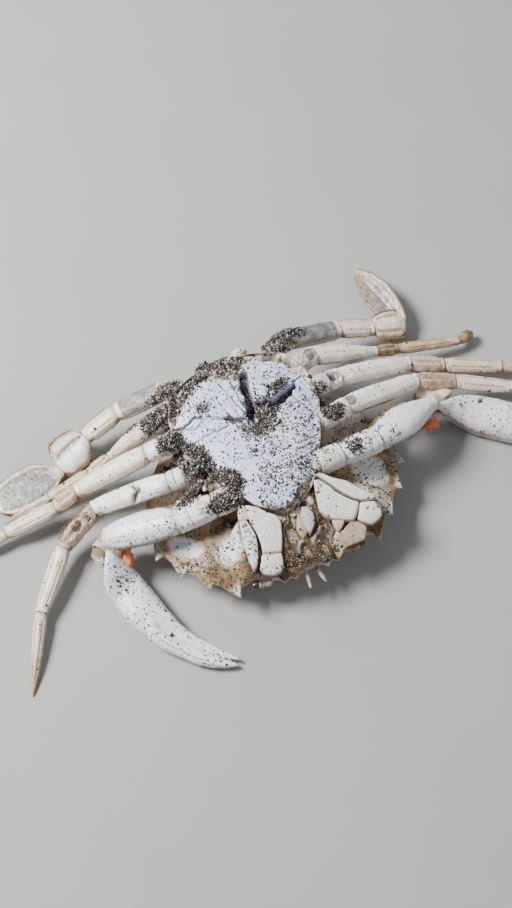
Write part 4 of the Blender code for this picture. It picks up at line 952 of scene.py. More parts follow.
def shell_rings(edge, toothed, reaches):
    """Rings in plan from the shell's middle to its toothed edge, and how near the edge each one is."""
    fade = soft_step(reaches, 0.93, 1.0)[:, None]
    ring = SHELL_CENTRE + (edge - SHELL_CENTRE) * reaches[:, None, None] + (toothed - edge) * fade[..., None]
    return ring, fade


def with_thin_teeth(ring, z, tooth, fade):
    """Points of the shell, with its teeth drawn towards the level of its edge."""
    return np.concatenate([ring, (z + (EDGE_LEVEL - z) * TOOTH_THIN * tooth * fade ** 2)[..., None]], axis=-1)


def shell_back(edge, toothed, tooth):
    """The domed side of the shell, which lies below, and its masks."""
    reach = np.linspace(0.02, 1, BACK_RINGS) ** 0.85
    ring, fade = shell_rings(edge, toothed, reach)
    flat = with_height(ring, 5.0)
    cloud = clouds(flat)
    past_flat = np.clip((reach - SHELL_FLAT) / (1 - SHELL_FLAT), 0, 1)[:, None]
    z = SHELL_DEPTH * past_flat ** DOME_POWER + 0 * cloud
    grains = np.clip(lumps(flat, 1.0, 5), 0, 1) ** 2
    groove = hill(line_distance(ring, BACK_GROOVE), 0, 1.1)
    uneven = (0.35 * groove - 0.45 * grains + 0.15) * soft_step(reach, SHELL_FLAT, SHELL_FLAT + 0.12)[:, None]
    z = np.maximum(z + uneven * (1 - fade), 0)
    x, y, half_x, half_y = BACK_SPOT
    spots = np.exp(-np.hypot((np.abs(ring[..., 0]) - x) / half_x, (ring[..., 1] - y) / half_y) ** 4)
    masks = dict(
        tint=0.55 + 0.25 * cloud, cream=0.7, blush=0.25 * spots, grit=0.35,
        dark=0.1 + 0.18 * cloud + 0.55 * spots + 0.3 * groove)
    return with_thin_teeth(ring, z, tooth, fade), masks


def shell_belly(edge, toothed, tooth):
    """The underside of the shell, with its hollows, lines and stains, and its masks."""
    reach = 1 - np.linspace(0, 0.86, BELLY_RINGS) ** 1.15
    ring, fade = shell_rings(edge, toothed, reach)
    flat = with_height(ring, 25.0)
    cloud = clouds(flat)
    warped = ring + 0.7 * wander(flat, 3, 9)
    z = belly_height(edge, ring)
    clean, blue = np.zeros(z.shape), np.zeros(z.shape)
    for *oval, depth, tone in HOLLOWS:
        z = z - depth * soft_step(1 - oval_reach(ring, *oval), 0, 0.5) * (1 - fade)
        inside = soft_step(1 - oval_reach(warped, *oval) + 0.14 * lumps(flat, 4, 12), -0.3, 0.62)
        clean = np.maximum(clean, inside)
        blue = np.maximum(blue, inside * tone)
    lines = sum(hill(line_distance(warped, line), 0, 0.3) for line in SHELL_LINES)
    stains = sum(hill(oval_reach(warped, *oval), 0, 1) * much for *oval, much in SHELL_STAINS)
    distance = np.linalg.norm(edge - SHELL_CENTRE, axis=1) * (1 - reach[:, None])
    margin = np.exp(-distance / 3.5) * (1 - 0.9 * tooth * fade)
    # Painted shade: the underside is darkened along the outlines of the jaw plates, in the gaps round them.
    outlines = [outline for _, _, level, _, outline in PLATES.values() if not level]
    gap = hill(np.min([line_distance(ring, line + line[:1]) for line in outlines], axis=0), 0, 0.8)
    flank = soft_step(ring[..., 0], 20, 30) * soft_step(ring[..., 1], -26, -14)
    rough = (1 - 0.85 * clean) * (1 - fade)
    z = z + (0.2 * cloud + 0.14 * lumps(flat, 0.9, 6)) * rough - 0.3 * lines
    banks = hill(clean, 0.25, 0.22)
    tan = 0.3 + 0.35 * cloud + 0.7 * stains + 0.3 * margin - 0.15 * flank
    soil = 0.3 * margin + 0.5 * stains * (0.5 + cloud) + 0.4 * np.clip(cloud, 0, 1)
    masks = dict(
        tint=tan * (1 - 0.9 * clean) + 0.35 * banks,
        dark=soil * (1 - clean) + 0.8 * lines + 0.22 * banks + 0.9 * gap,
        blue=blue + 0.15 * flank,
        cream=(0.65 - 0.3 * flank) * (1 - clean) * (1 - 0.7 * tooth * fade),
        grit=0.5 + 0.5 * margin - 0.5 * clean * (1 - flank) + 0.3 * stains)
    return with_thin_teeth(ring, z, tooth, fade), masks


def make_carapace(sizes, colours):
    """The shell of the back as one closed skin: its dome, a narrow rim and its underside."""
    half = [(-x, y) for x, y in reversed(SHELL_EDGE) if x]
    edge = smooth_loop(SHELL_EDGE + half, sizes.shell_points)
    toothed, tooth = toothed_edge(edge)
    rim = shell_rings(edge, toothed, np.ones(1))[0] + unit(edge - SHELL_CENTRE) * RIM_SWELL
    rim_masks = dict(tint=0.35 * (1 - tooth), dark=0.15 * (1 - tooth))
    back = shell_back(edge, toothed, tooth)
    belly = shell_belly(edge, toothed, tooth)
    parts = (back, (with_height(rim, EDGE_LEVEL), rim_masks), belly)
    rings = np.concatenate([part for part, _ in parts])
    full = {key: np.concatenate([np.broadcast_to(masks.get(key, 0.0), part.shape[:2])
                                 for part, masks in parts]) for key in MASKS}
    surfaces["carapace"] = belly[0]
    settle(add_tube("carapace_shell", rings, shell_finish("shell", colours), full), "carapace")


# Thorax and tail
def breast_relief(flat, at, across):
    """How the thorax's face stands up or sinks, how dark it is from dirt and from painted shade in its
    cavities and cracks, and where its smooth plate is left.
    """
    ragged = flat + 0.3 * wander(at, 1.3, 12)
    torn = flat + 0.75 * wander(at, 2.1, 24) + 0.35 * wander(at, 0.8, 26)
    breast = soft_step(depth_inside(ragged, BREAST), -0.35, 0.25)
    shards = [rise * soft_step(depth_inside(ragged, outline), -0.25, 0.2) for outline, rise in SHARDS]
    relief = np.max(shards, axis=0) - 0.9 - BREAST_RISE * (1 - breast)
    darkening = np.zeros(breast.shape)
    # Cavities and cracks are sunk and darkened: debris and dirt in them, and painted shade of their depth.
    for line, width, depth in CAVITIES:
        cut = soft_step(line_distance(torn, line) / width, 1.25, 0.85)
        relief = relief - depth * cut
        darkening = np.maximum(darkening, cut)
    for line, width, depth in CRACKS:
        cut = hill(line_distance(ragged, line), 0, width)
        relief = relief - depth * cut
        darkening = np.maximum(darkening, 0.85 * cut)
    for *oval, rise in HEAPS:
        relief = relief + rise * soft_step(1 - oval_reach(flat, *oval), 0, 0.8)
    for suture in SUTURES:
        sweep = suture + 2.4 * (1 - np.abs(across)) * np.sign(suture - 12)
        line = hill(flat[..., 1], sweep, 0.35) * soft_step(np.abs(across), 0.4, 0.6)
        relief = relief - 0.5 * line
        darkening = np.maximum(darkening, 0.5 * line)
    return relief, darkening, breast


def thorax_top(flat, across):
    """Height of the thorax's face at places in plan, and its masks."""
    at = with_height(flat)
    relief, darkening, breast = breast_relief(flat, at, across)
    debris = 1 - breast
    relief = relief + 0.14 * lumps(at, 4.5, 14) + 0.06 * lumps(at, 1.3, 15)
    relief = relief + debris * (0.7 * lumps(at, 2.6, 20) + 0.5 * lumps(at, 1.1, 21))
    relief = relief - 0.25 * np.clip(lumps(at, 0.9, 16) - 0.45, 0, 1)
    front = THORAX_EDGE[0][0]
    z = THORAX_TOP - THORAX_FALL * np.abs(across) ** 4
    z = z - FRONT_FALL * np.clip((SUTURES[0] - flat[..., 1]) / (SUTURES[0] - front), 0, 1) ** 2
    z = z + np.minimum(relief, 0.4) * soft_step(1 - np.abs(across), 0, EDGE_FADE)
    bank = hill(breast, 0.5, 0.25)
    crowd = sum(much * hill(oval_reach(flat, *oval), 0, 1) for *oval, much in CROWDS)
    dust = crowd * np.clip(0.3 + 0.5 * lumps(at, 3.5, 22), 0, 1)
    soil = 0.8 * debris * np.clip(0.45 + 1.2 * lumps(at, 2.2, 23), 0, 1) + 0.45 * bank
    masks = dict(
        blue=0.9 * breast, dark=np.maximum(darkening, soil),
        tint=0.45 * debris + 0.35 * dust + 0.25 * bank, cream=0.3 * debris + 0.25 * dust,
        grit=np.clip(0.16 + crowd + 0.15 * lumps(at, 6, 17), 0, 1) * breast + debris)
    return z, masks


def thorax_wall(edge, drop):
    """One side of the thorax, from the edge of its face down to its foot."""
    wall = np.repeat(edge[:, None], len(drop), 1)
    wall[..., 0] *= 1 - (1 - THORAX_TAPER) * drop
    wall[..., 2] += (THORAX_FOOT - wall[..., 2]) * drop
    swell = 0.35 * (lumps(wall, 2.0, 18) * np.sin(drop * math.pi))[..., None]
    return wall + swell * np.sign(wall[..., :1]) * (1, 0, 0)


def make_thorax(sizes, colours):
    """The thorax: its broken face and both sides, and the dried skin round it."""
    places, widths = zip(*THORAX_EDGE)
    rows = np.linspace(places[0], places[-1], THORAX_ROWS)
    right = np.linspace(0, 1, THORAX_COLUMNS) ** 0.95
    across = np.concatenate([-right[:0:-1], right])
    half = eased(rows, places, widths, 0.06)
    flat = np.stack([across[None] * half[:, None], np.repeat(rows[:, None], len(across), 1)], axis=-1)
    z, masks = thorax_top(flat, np.repeat(across[None], len(rows), 0))
    upper = np.concatenate([flat, z[..., None]], axis=-1)
    drop = np.linspace(0, 1, WALL_ROWS)[1:]
    walls = [thorax_wall(upper[:, -1], drop), thorax_wall(upper[:, 0], drop)[:, ::-1]]
    rings = np.concatenate([upper, *walls], axis=1)
    side = np.ones((len(rows), len(drop)))
    on_walls = {"dark": 0.6, "tint": 0.5, "grit": 0.9}
    full = {}
    for key in MASKS:
        wall = side * on_walls.get(key, 0)
        full[key] = np.concatenate([masks.get(key, 0 * z), wall, wall], axis=1)
    settle(add_tube("thorax_plate", rings, shell_finish("thorax", colours), full), "thorax")
    make_root_skin(colours)


def make_root_skin(colours):
    """Dried skin and muscle that fill the space between the limb roots, round the thorax."""
    around = np.linspace(0, 2 * math.pi, ROOT_SKIN_AROUND, endpoint=False)
    part = np.linspace(0, 1, ROOT_SKIN_RINGS)[:, None]
    swell = np.sin(0.2 + part * (math.pi - 0.25)) ** 0.5
    places, widths = zip(*THORAX_EDGE)
    y = ROOT_SKIN_MIDDLE + ROOT_SKIN_HALF * swell * np.sin(around)
    half = np.interp(y, places, widths) + ROOT_SKIN_BEYOND
    x = np.sign(np.cos(around)) * half * np.abs(np.cos(around)) ** 0.35 * swell
    rings = np.stack([x, y, ROOT_SKIN_FOOT + ROOT_SKIN_HEIGHT * part + 0 * x], axis=-1)
    bumps = 0.9 * lumps(rings, 3.4, 41) + 0.5 * lumps(rings, 1.4, 42)
    rings = rings + unit(rings - (0, ROOT_SKIN_MIDDLE, 20) + 1e-6) * bumps[..., None]
    darkening = 0.35 + 0.5 * np.clip(lumps(rings, 2.4, 43), 0, 1)
    masks = {"tint": 0.5 + 0.3 * lumps(rings, 5, 44), "dark": darkening, "grit": 0.95}
    settle(add_tube("root_skin", rings, shell_finish("skin", colours), masks))


def make_tail(sizes, colours):
    """The stump of the tail flap, a curved band of a few rings behind the thorax."""
    inner, outer = TAIL_STEPS
    last = len(TAIL_INSIDE) - 1
    fine_in = np.stack([np.interp(np.linspace(0, last, inner), range(last + 1), way)
                        for way in zip(*TAIL_INSIDE)], -1)
    at = np.linspace(0, last, outer)
    fine_out = np.stack([eased(at, range(last + 1), way, 0.3) for way in zip(*TAIL_OUTSIDE)], -1)
    rings = []
    for u in np.linspace(-1, 1, TAIL_SLICES):
        out = fine_out.copy()
        out[:, 0] = TAIL_WALL + (out[:, 0] - TAIL_WALL) * math.sqrt(1 - (TAIL_ROUND * u) ** 2)
        joints = sum(hill(at, place - 0.12 * abs(u), 0.07) for place in TAIL_RINGS)
        section = np.concatenate([fine_in, out])
        ring = np.stack([np.full(len(section), u * TAIL_HALF), section[:, 0], section[:, 1]], axis=-1)
        bumps = 0.35 * lumps(ring, 2.6, 51) + 0.2 * lumps(ring, 1.0, 52)
        bumps[inner:] -= 0.55 * joints
        bumps[:inner] = 0
        ring[:, 1] += bumps * 0.8
        ring[:, 2] += bumps * np.where(ring[:, 2] > 25, 0.8, 0)
        rings.append(ring)
    rings = np.array(rings)
    masks = {"tint": 0.4 + 0.4 * lumps(rings, 3, 54), "dark": 0.3 + 0.4 * lumps(rings, 2, 53), "cream": 0.6,
             "grit": 0.8}
    settle(add_tube("tail_flap_base", rings, shell_finish("leg", colours), masks), "pleon")


# Mouth, eyes and feelers
def mouth_height(y):
    """Height of the sloping mouth frame at a distance to the rear."""
    return MOUTH_HEIGHT + MOUTH_SLOPE * (y - MOUTH_LEVEL)


def add_plate(name, outline, thick, level, material, given, seed, folds=0.0, lift=0.3):
    """A plate with crisp rounded edges that lies on the sloping mouth frame, or flat at its own level."""
    edge = smooth_loop(outline, PLATE_POINTS, 0.22)
    edge = edge + 0.22 * unit(edge - edge.mean(0))
    reach = np.append(np.linspace(0.02, 1, PLATE_RINGS) ** 0.4, [1.0, 0.97])[:, None]
    ring = edge.mean(0) + (edge - edge.mean(0)) * reach[..., None]
    flat = with_height(ring)
    top = np.arange(len(reach))[:, None] < PLATE_RINGS
    domed = (0.82 + 0.18 * (1 - reach ** 2)) * np.clip(1 - reach ** 34, 0, 1) ** 0.5
    rise = np.where(top, thick * domed, 0)
    rise[-1] = -0.6
    bumps = 0.07 * lumps(flat, 2.2, seed) + 0.03 * lumps(flat, 0.8, seed + 1)
    wrinkles = np.abs(lumps(flat * (1, 0.45, 1), 3.2, seed + 2)) * 1.7 + 0.2 * lumps(flat, 1.2, seed)
    bumps = bumps - folds * wrinkles
    base = (mouth_height(ring[..., 1]) if level is None else level) + lift
    points = np.concatenate([ring, (base + rise + bumps * top)[..., None]], axis=-1)
    border = soft_step(reach, 0.86, 1.0)
    lower = soft_step(ring[..., 1] - edge[:, 1].min(), 3.2, 0)
    streaks = np.clip(lumps(flat * (1, 0.25, 1), 0.7, seed + 6), 0, 1)
    patches = np.clip(lumps(flat, 2.5, seed + 4), 0, 1)
    crease_shade = np.clip(-bumps * 0.7, 0, 0.8) if folds else 0
    masks = {key: given.get(key, 0.0) + 0 * bumps for key in MASKS}
    masks["tint"] += 0.42 * border + 0.25 * lower + 0.22 * streaks + 0.15 * patches
    # Painted shade along the plate's outermost edge, in the gaps between plates, and in the low parts of the
    # folds of skin.
    masks["dark"] += 0.7 * soft_step(reach, 0.985, 1.0) + 0.15 * border * (lower + streaks) + crease_shade
    masks["grit"] += 0.15 + 0.3 * lower
    return add_tube(name, points[::-1], material, {key: value[::-1] for key, value in masks.items()})


def make_jaws(sizes, colours):
    """The plates of the mouth and of the orbit, and the dried skin between them."""
    shell = shell_finish("jaw", colours)
    for index, (name, (node, thick, level, given, outline)) in enumerate(PLATES.items()):
        piece = add_plate(f"{name}_plate", outline, thick, level, shell, given, 60 + 5 * index)
        settle(piece, node)
    # The mouth skin is dark brown: its own colour, deepened as painted shade of the hollow round the jaws.
    finish = dict(tint=0.5, cream=0.2, dark=0.6, grit=0.1)
    skin = shell_finish("skin", colours)
    settle(add_plate("mouth_skin", MOUTH_BED, 1.4, None, skin, finish, 210, folds=1.3, lift=-0.3))


def make_rod(name, path, radii, side, material, steps=60, around=24, joints=0, seed=0):
    """A round stalk along a path, with rounded ends and, if wanted, narrower joints."""
    path = np.array([(side * x, y, z) for x, y, z in path], float)
    at = np.linspace(0, len(path) - 1, steps)
    centre = np.stack([eased(at, range(len(path)), path[:, i], 0.2) for i in range(3)], -1)
    radius = eased(at, range(len(path)), radii, 0.1)
    if joints:
        radius = radius * (1 - 0.22 * hill((at / at[-1] * joints) % 1, 0.5, 0.08))
    across = unit(np.cross(unit(np.gradient(centre, axis=0)), UP))
    up = np.cross(across, unit(np.gradient(centre, axis=0)))
    turn = np.linspace(0, 2 * math.pi, around, endpoint=False)
    cap = np.sqrt(np.clip(np.minimum(np.arange(steps), np.arange(steps)[::-1]) / 2.5, 0.04, 1))
    rings = centre[:, None] + (radius * cap)[:, None, None] * (
        across[:, None] * np.cos(turn)[None, :, None] + up[:, None] * np.sin(turn)[None, :, None])
    masks = {"tint": 0.6 + 0.3 * lumps(rings, 2.0, seed + 1), "dark": 0.35 + 0.3 * lumps(rings, 1.4, seed),
             "grit": 0.6, "cream": 0.5}
    return add_tube(name, rings, material, masks)


def make_ball(name, centre, radii, material, heading=0.0, rough=0.0, seed=0, masks=None):
    """A closed oval body, turned on its heading and roughened if wanted."""
    c, s = math.cos(math.radians(heading)), math.sin(math.radians(heading))
    phi = np.linspace(0.03, math.pi - 0.03, BALL_RINGS)[:, None]
    turn = np.linspace(0, 2 * math.pi, BALL_AROUND, endpoint=False)[None]
    wide = np.sin(phi)
    local = np.stack([np.cos(phi) * np.ones_like(turn), wide * np.cos(turn), wide * np.sin(turn)], -1)
    axes = np.array(((c, s, 0), (-s, c, 0), (0, 0, 1)))
    points = (local * np.array(radii)) @ axes + np.array(centre)
    bumps = rough * (lumps(points, 1.6, seed) + 0.5 * lumps(points, 0.7, seed + 1))
    return add_tube(name, points + (local @ axes) * bumps[..., None], material, masks)


def make_head(sizes, colours):
    """The eyes on their stalks and the stumps of the feelers."""
    # Near-black eyes: their own dark colour, and the painted shade of the orbit.
    eye = plain_finish("eye_surface", colours.eye, darker(colours.eye, 3.0), 0.6, 0.3, 0.3, 0.00005)
    jaw, skin = shell_finish("jaw", colours), shell_finish("skin", colours)
    (x, y, z), radii = EYE_BALL
    for side, word in ((-1, "left"), (1, "right")):
        settle(make_rod(f"eye_stalk_{word}", EYE_PATH, EYE_RADII, side, skin, seed=200))
        settle(make_ball(f"eye_ball_{word}", (side * x, y, z), radii, eye), f"eye_{word}")
        feeler = make_rod(f"feeler_{word}", FEELER_PATH, FEELER_RADII, side, jaw, 90, 24, 7, 210)
        settle(feeler, f"antenna_{word}")


def make_lumps(sizes, colours):
    """Dried skin and flesh that show at the wrists, round the mouth and between the limb roots."""
    flesh = plain_finish("wrist_flesh", colours.flesh, (0.74, 0.27, 0.13), 1.6, 0.4, 0.3, 0.0002)
    for index, (name, (centre, radii, heading, kind, masks)) in enumerate(LUMPS.items()):
        material = flesh if kind == "flesh" else shell_finish(kind, colours)
        rough = 0.7 if kind == "flesh" else 0.5
        piece = make_ball(name, centre, radii, material, heading, rough, 340 + index, masks)
        settle(piece)


# Limbs
def side_of(name):
    return -1 if "left" in name else 1


def root_of(limb):
    """The middle of the thorax facet that a limb grows from."""
    height, facet = ROOTS[limb.rsplit("_", 1)[0]]
    (y0, w0), (y1, w1) = THORAX_EDGE[facet: facet + 2]
    rise = (height - THORAX_FOOT) / (THORAX_TOP - THORAX_FALL - THORAX_FOOT)
    reach = (w0 + w1) / 2 * (THORAX_TAPER + (1 - THORAX_TAPER) * rise)
    return np.array((side_of(limb) * reach, (y0 + y1) / 2, height))


def direction(side, heading, drop):
    """A direction from its heading and its drop in degrees; side is 1 or, mirrored, -1."""
    heading, drop = math.radians(heading), math.radians(drop)
    level = math.cos(drop)
    return np.array((side * math.cos(heading) * level, math.sin(heading) * level, -math.sin(drop)))


def limb_joints(limb):
    joints = [root_of(limb)]
    for length, heading, drop in POSE[limb]:
        joints.append(joints[-1] + direction(side_of(limb), heading, drop) * length)
    return joints


def limb_axes(line, side, roll=0.0):
    """A limb's direction, and those to its front edge and to its upper face."""
    across = unit(np.cross(line, UP))
    up = np.cross(across, line)
    turn = math.radians(roll)
    fore = side * (across * math.cos(turn) + up * math.sin(turn))
    return line, fore, up * math.cos(turn) - across * math.sin(turn)


def turned(angle, middle):
    """Difference between angles in degrees, from -180 to 180."""
    return (angle - middle + 180) % 360 - 180


class Along:
    """How far the points of a shell piece lie along its line, and at which angle from its front edge."""

    def __init__(self, centre, line, around):
        self.angle = np.linspace(0, 360, around, endpoint=False)[None]
        self.c, self.s = np.cos(np.radians(self.angle)), np.sin(np.radians(self.angle))
        self.edge = np.abs(self.c) ** 3
        self.along = ((centre - centre[0]) @ line)[:, None]
        self.length = float(self.along[-1, 0])
        self.t, self.left = self.along / self.length, self.length - self.along


def mark_effects(marks, at, radius, points):
    """Depth, darkening and greyness that a piece's marks give: holes and cracks are darkened with dirt and
    painted shade.
    """
    depth, darkening, grey = (np.zeros(points.shape[:2]) for _ in range(3))
    # A sunk hole or crack is darkened, and a window gets a dark rim: partly dirt, partly painted shade of the
    # sunk place.
    for kind, place, middle, size, deep, *more in marks:
        if kind == "crack":
            ends = [(p * at.length, math.radians(a) * radius) for p, a in ((place, middle), more)]
            spread = np.stack(np.broadcast_arrays(at.t * at.length, np.radians(at.angle) * radius), axis=-1)
            cut = hill(line_distance(spread + 0.45 * lumps(points, 1.3, 71)[..., None], ends), 0, size)
            depth, darkening = np.maximum(depth, deep * cut), np.maximum(darkening, cut)
            continue
        gap = np.hypot((at.t - place) * at.length, np.radians(turned(at.angle, middle)) * radius)
        gap = (gap + 0.3 * lumps(points, 1.2, 72)) / size
        inside = soft_step(gap, 1.08, 0.85)
        depth = np.maximum(depth, deep * inside) - 0.2 * hill(gap, 1.25, 0.14)
        if kind == "hole":
            darkening = np.maximum(darkening, inside)
        else:
            grey = np.maximum(grey, inside)
            darkening = np.maximum(darkening, 0.9 * hill(gap, 1, 0.1))
    return depth, darkening, grey


def ridge_heights(look, at):
    """Height of a piece's ridges, below zero in its grooves."""
    total = 0 * at.t * at.angle
    for middle, width, height, begin, end in look.get("ridges", []):
        window = soft_step(at.t, begin, begin + 0.1) * soft_step(at.t, end, end - 0.12)
        total = total + height * hill(turned(at.angle, middle), 0, width) * window
    return total


def window_masks(masks, at):
    """Makes a piece clear grey horn in its middle, with a pale rim."""
    clear = soft_step(at.left, 1.6, 2.6) * soft_step(at.along, 0.5, 2) * (1 - 0.8 * at.edge ** 3)
    masks["grey"] *= clear
    masks["tint"] *= 1 - 0.7 * clear
    masks["cream"] += 0.7 * (1 - clear)


def blade_masks(masks, at, body, scale, inner):
    """Gives a blade a pale rim, from its inner share outwards, and a pale neck."""
    reach = np.maximum(np.abs(at.c) * scale, soft_step(at.t, 0.6, 1.02)) * (1 + 0.06 * lumps(body, 1.6, 36))
    rim = soft_step(reach, inner, inner + 0.1)
    neck = soft_step(at.along, 5, 2.5)
    masks["grey"] *= (1 - rim) * (1 - neck)
    masks["cream"] += 0.6 * rim + 0.8 * neck
    masks["tint"] += 0.5 * hill(reach, 1, 0.05) + 0.25 * neck
    masks["grit"] += 0.35 * rim


def lobe_masks(masks, at):
    """Gives a broad piece a thin pinkish wing on its rear side and a cream front edge."""
    wing = soft_step(turned(at.angle, 100), -2, 6) * soft_step(turned(at.angle, 182), 6, 0)
    masks["grey"] += 0.45 * wing
    masks["blush"] += 0.55 * wing
    masks["blue"] *= 1 - wing
    masks["cream"] += 0.7 * hill(np.abs(turned(at.angle, 0)), 0, 26)


def shell_masks(look, at, body, scale, ridges, darkening, grey):
    """The masks of a shell piece: its own tones, and those of its edges, ends, grooves and marks."""
    tip = look.get("tip", 0)
    masks = {key: look.get(key, 0.0) + np.zeros(body.shape[:2]) for key in MASKS}
    masks["tint"] += look.get("edge", 0) * at.edge * (0.7 + 0.3 * lumps(body, 4, 34))
    masks["tint"] += 0.35 * hill(at.left, 0, 0.5) + 0.3 * hill(at.along, 0, 1.2)
    masks["tint"] += tip * soft_step(at.t, 0.45, 1.0) + 0.4 * np.clip(-ridges / 0.3, 0, 1)
    # Painted shade: darker in grooves, which also hold dirt, and in a band at the piece's start, inside the
    # rim of the piece before it; marks add their own darkening.
    masks["dark"] += 0.4 * np.clip(-ridges / 0.32, 0, 1) + darkening + 0.7 * hill(at.along, 0.2, 0.25)
    masks["dark"] += 0.3 * tip * soft_step(at.t, 0.75, 1.0)
    # Painted shadow line on the upper side, just past the rim of the piece before it.
    masks["dark"] += look.get("outline", 0) * 0.75 * hill(at.along, 1 + 2.0 * at.c ** 2, 0.2) * (at.s > -0.1)
    masks["grit"] *= 0.75 + 0.5 * lumps(body, 5, 35)
    masks["grey"] = np.maximum(masks["grey"], grey)
    if look.get("window"):
        window_masks(masks, at)
    if "plate" in look:
        blade_masks(masks, at, body, scale, look["plate"])
    if look.get("lobes"):
        lobe_masks(masks, at)
    return masks


def piece_ends(body, line, half, thick, closed):
    """The rings of a piece's rounded start, and those of its rounded end or open rim."""
    phi = np.linspace(0.06, math.pi / 2, END_RINGS, endpoint=False)
    middle, rim = body[0].mean(0), body[0] - body[0].mean(0)
    cap = 0.5 * min(half[0], thick[0])
    head = [middle + rim * math.sin(p) - line * cap * math.cos(p) for p in phi]
    middle, rim = body[-1].mean(0), body[-1] - body[-1].mean(0)
    cap = 0.6 * min(half[-1], thick[-1])
    if closed:
        tail = [middle + rim * math.sin(p) + line * cap * math.cos(p) for p in phi[::-1]]
    else:
        tail = [middle + rim * size + line * shift for size, shift in RIM_STEPS]
    return np.array(head), np.array(tail)


def shell_tube(name, centre, axes, half, thick, look, sizes, cuts=(None, None), closed=False):
    """Rings of one shell piece round its middle line, and the masks of its finish.

    Its far end is an open rim, cut on the plane between it and the next piece, whose rounded start
    lies inside the rim; a closed piece is rounded at its end too.
    """
    line, fore, up = axes
    look = {**look, **TONES.get(name, {})}
    at = Along(centre, line, sizes.around)
    power = look.get("square", 2.2)
    nest = 1 - 0.1 * (1 - soft_step(at.along, 0, 1.3))
    scale = (np.abs(at.c) ** power + np.abs(at.s) ** power) ** (-1 / power) * nest
    wide, high = half[:, None] * at.c * scale, thick[:, None] * at.s * scale
    offset = fore * wide[..., None] + up * high[..., None]
    body = centre[:, None] + offset
    radius = float((half.mean() + thick.mean()) / 2)
    for cut, away in zip(cuts, (at.along, at.left)):
        if cut is not None:
            lean = np.clip(-(offset @ cut) / (line @ cut), -1.6 * radius, 1.6 * radius)
            body = body + line * (lean * soft_step(away, 2.4 * radius, 0))[..., None]
    ridges = ridge_heights(look, at)
    uneven = sizes.bump / MM * (1 + 5 * look.get("rough", 0))
    bumps = uneven * (lumps(body, 2.6, 31) + 0.6 * lumps(body, 1.1, 32) + 0.35 * lumps(body, 0.5, 33))
    depth, darkening, grey = mark_effects(MARKS.get(name, []), at, radius, body)
    lip = 0 if closed else 0.14 * hill(at.left, 0, 0.6) - 0.12 * hill(at.left, 1.5, 0.5)
    outward = unit(fore * at.c[..., None] + up * at.s[..., None])
    body = body + outward * (ridges + bumps + lip - depth)[..., None]
    masks = shell_masks(look, at, body, scale, ridges, darkening, grey)
    surfaces[name] = body
    head, tail = piece_ends(body, line, half, thick, closed)
    full = {key: np.concatenate([np.repeat(v[:1], len(head), 0), v, np.repeat(v[-1:], len(tail), 0)])
            for key, v in masks.items()}
    # Painted shade inside the open rim, where it folds in round the start of the next piece.
    if not closed:
        full["dark"][-3:] = 0.9
    return np.concatenate([head, body, tail]), full


def make_segment(name, ends, cuts, kind, finish, sizes, colours, node=None, roll=0.0):
    """One piece of a limb between two points; without a plane at its far end it is closed there."""
    start, end = ends
    table = SECTIONS[kind]
    look = LOOKS.get(kind) or LOOKS[kind.split()[-1]]
    length = float(np.linalg.norm(end - start))
    axes = limb_axes((end - start) / length, side_of(name), roll)
    t = np.linspace(0, 1, max(int(sizes.rows * min(length / FULL_ROWS_LENGTH, 1.2)), 20))
    places = [row[0] for row in table]
    half, thick, aside = (eased(t, places, [(*row, 0)[i] for row in table], 0.08) for i in (1, 2, 3))
    bow = look.get("bow", 0) * np.sin(t * math.pi)
    centre = start + t[:, None] * (end - start) + axes[2] * bow[:, None] + axes[1] * aside[:, None]
    rings, masks = shell_tube(name, centre, axes, half, thick, look, sizes, cuts, cuts[1] is None)
    settle(add_tube(f"{name}_shell", rings, shell_finish(finish, colours), masks), node)


def along_path(joints, part):
    """The point at a part of the length of a run of stretches."""
    lengths = [np.linalg.norm(b - a) for a, b in zip(joints, joints[1:])]
    away = part * sum(lengths)
    for (a, b), length in zip(zip(joints, joints[1:]), lengths):
        if away <= length:
            return a + (b - a) * away / length
        away -= length
    return joints[-1]


def joint_planes(points):
    """The plane between each stretch and the next, as its direction; none at the ends or a sharp bend."""
    lines = [unit(b - a) for a, b in zip(points, points[1:])]
    return [None] + [unit(a + b) if a @ b > 0.5 else None for a, b in zip(lines, lines[1:])] + [None]


def make_leg(limb, sizes, colours):
    """The six pieces of a leg; the first two take the place of the first stretch's start."""
    joints = limb_joints(limb)
    paddle = limb.startswith("paddle")
    word, last = ("paddle ", "paddle") if paddle else ("", "dactyl")
    root = joints[:3]
    points = [root[0], along_path(root, LEG_COXA_END), along_path(root, LEG_ISCHIUM_END), *joints[2:]]
    planes = joint_planes(points)
    for index, part in enumerate(("coxa", "ischium", "merus", "carpus", "propodus", last)):
        name = f"{limb}_{part}"
        kind = KINDS.get((limb, part), part if part == "paddle" else word + part)
        finish = "blade" if part == "paddle" else "leg"
        make_segment(name, points[index:index + 2], planes[index:index + 2], kind, finish, sizes, colours,
                     name if index > 1 else None, BLADE_ROLL.get(name, 0))


def make_legs(sizes, colours):
    for limb in POSE:
        if not limb.startswith("claw"):
            make_leg(limb, sizes, colours)


def blush_palm(masks, body, t, angle):
    """Gives the right palm its pinkish lower side, greyed with painted shade, with two redder places."""
    low = hill(turned(angle, 185), 0, 42) * soft_step(t, 0.05, 0.12) * soft_step(t, 0.62, 0.5)
    red = hill(turned(angle, 176), 0, 13) * (hill(t, 0.16, 0.05) + hill(t, 0.3, 0.08))
    masks["blush"][body] += 0.5 * low + 0.4 * red
    # Painted shade: grey on the palm's lower side.
    masks["grey"][body] += 0.2 * low
    masks["dark"][body] += 0.3 * red


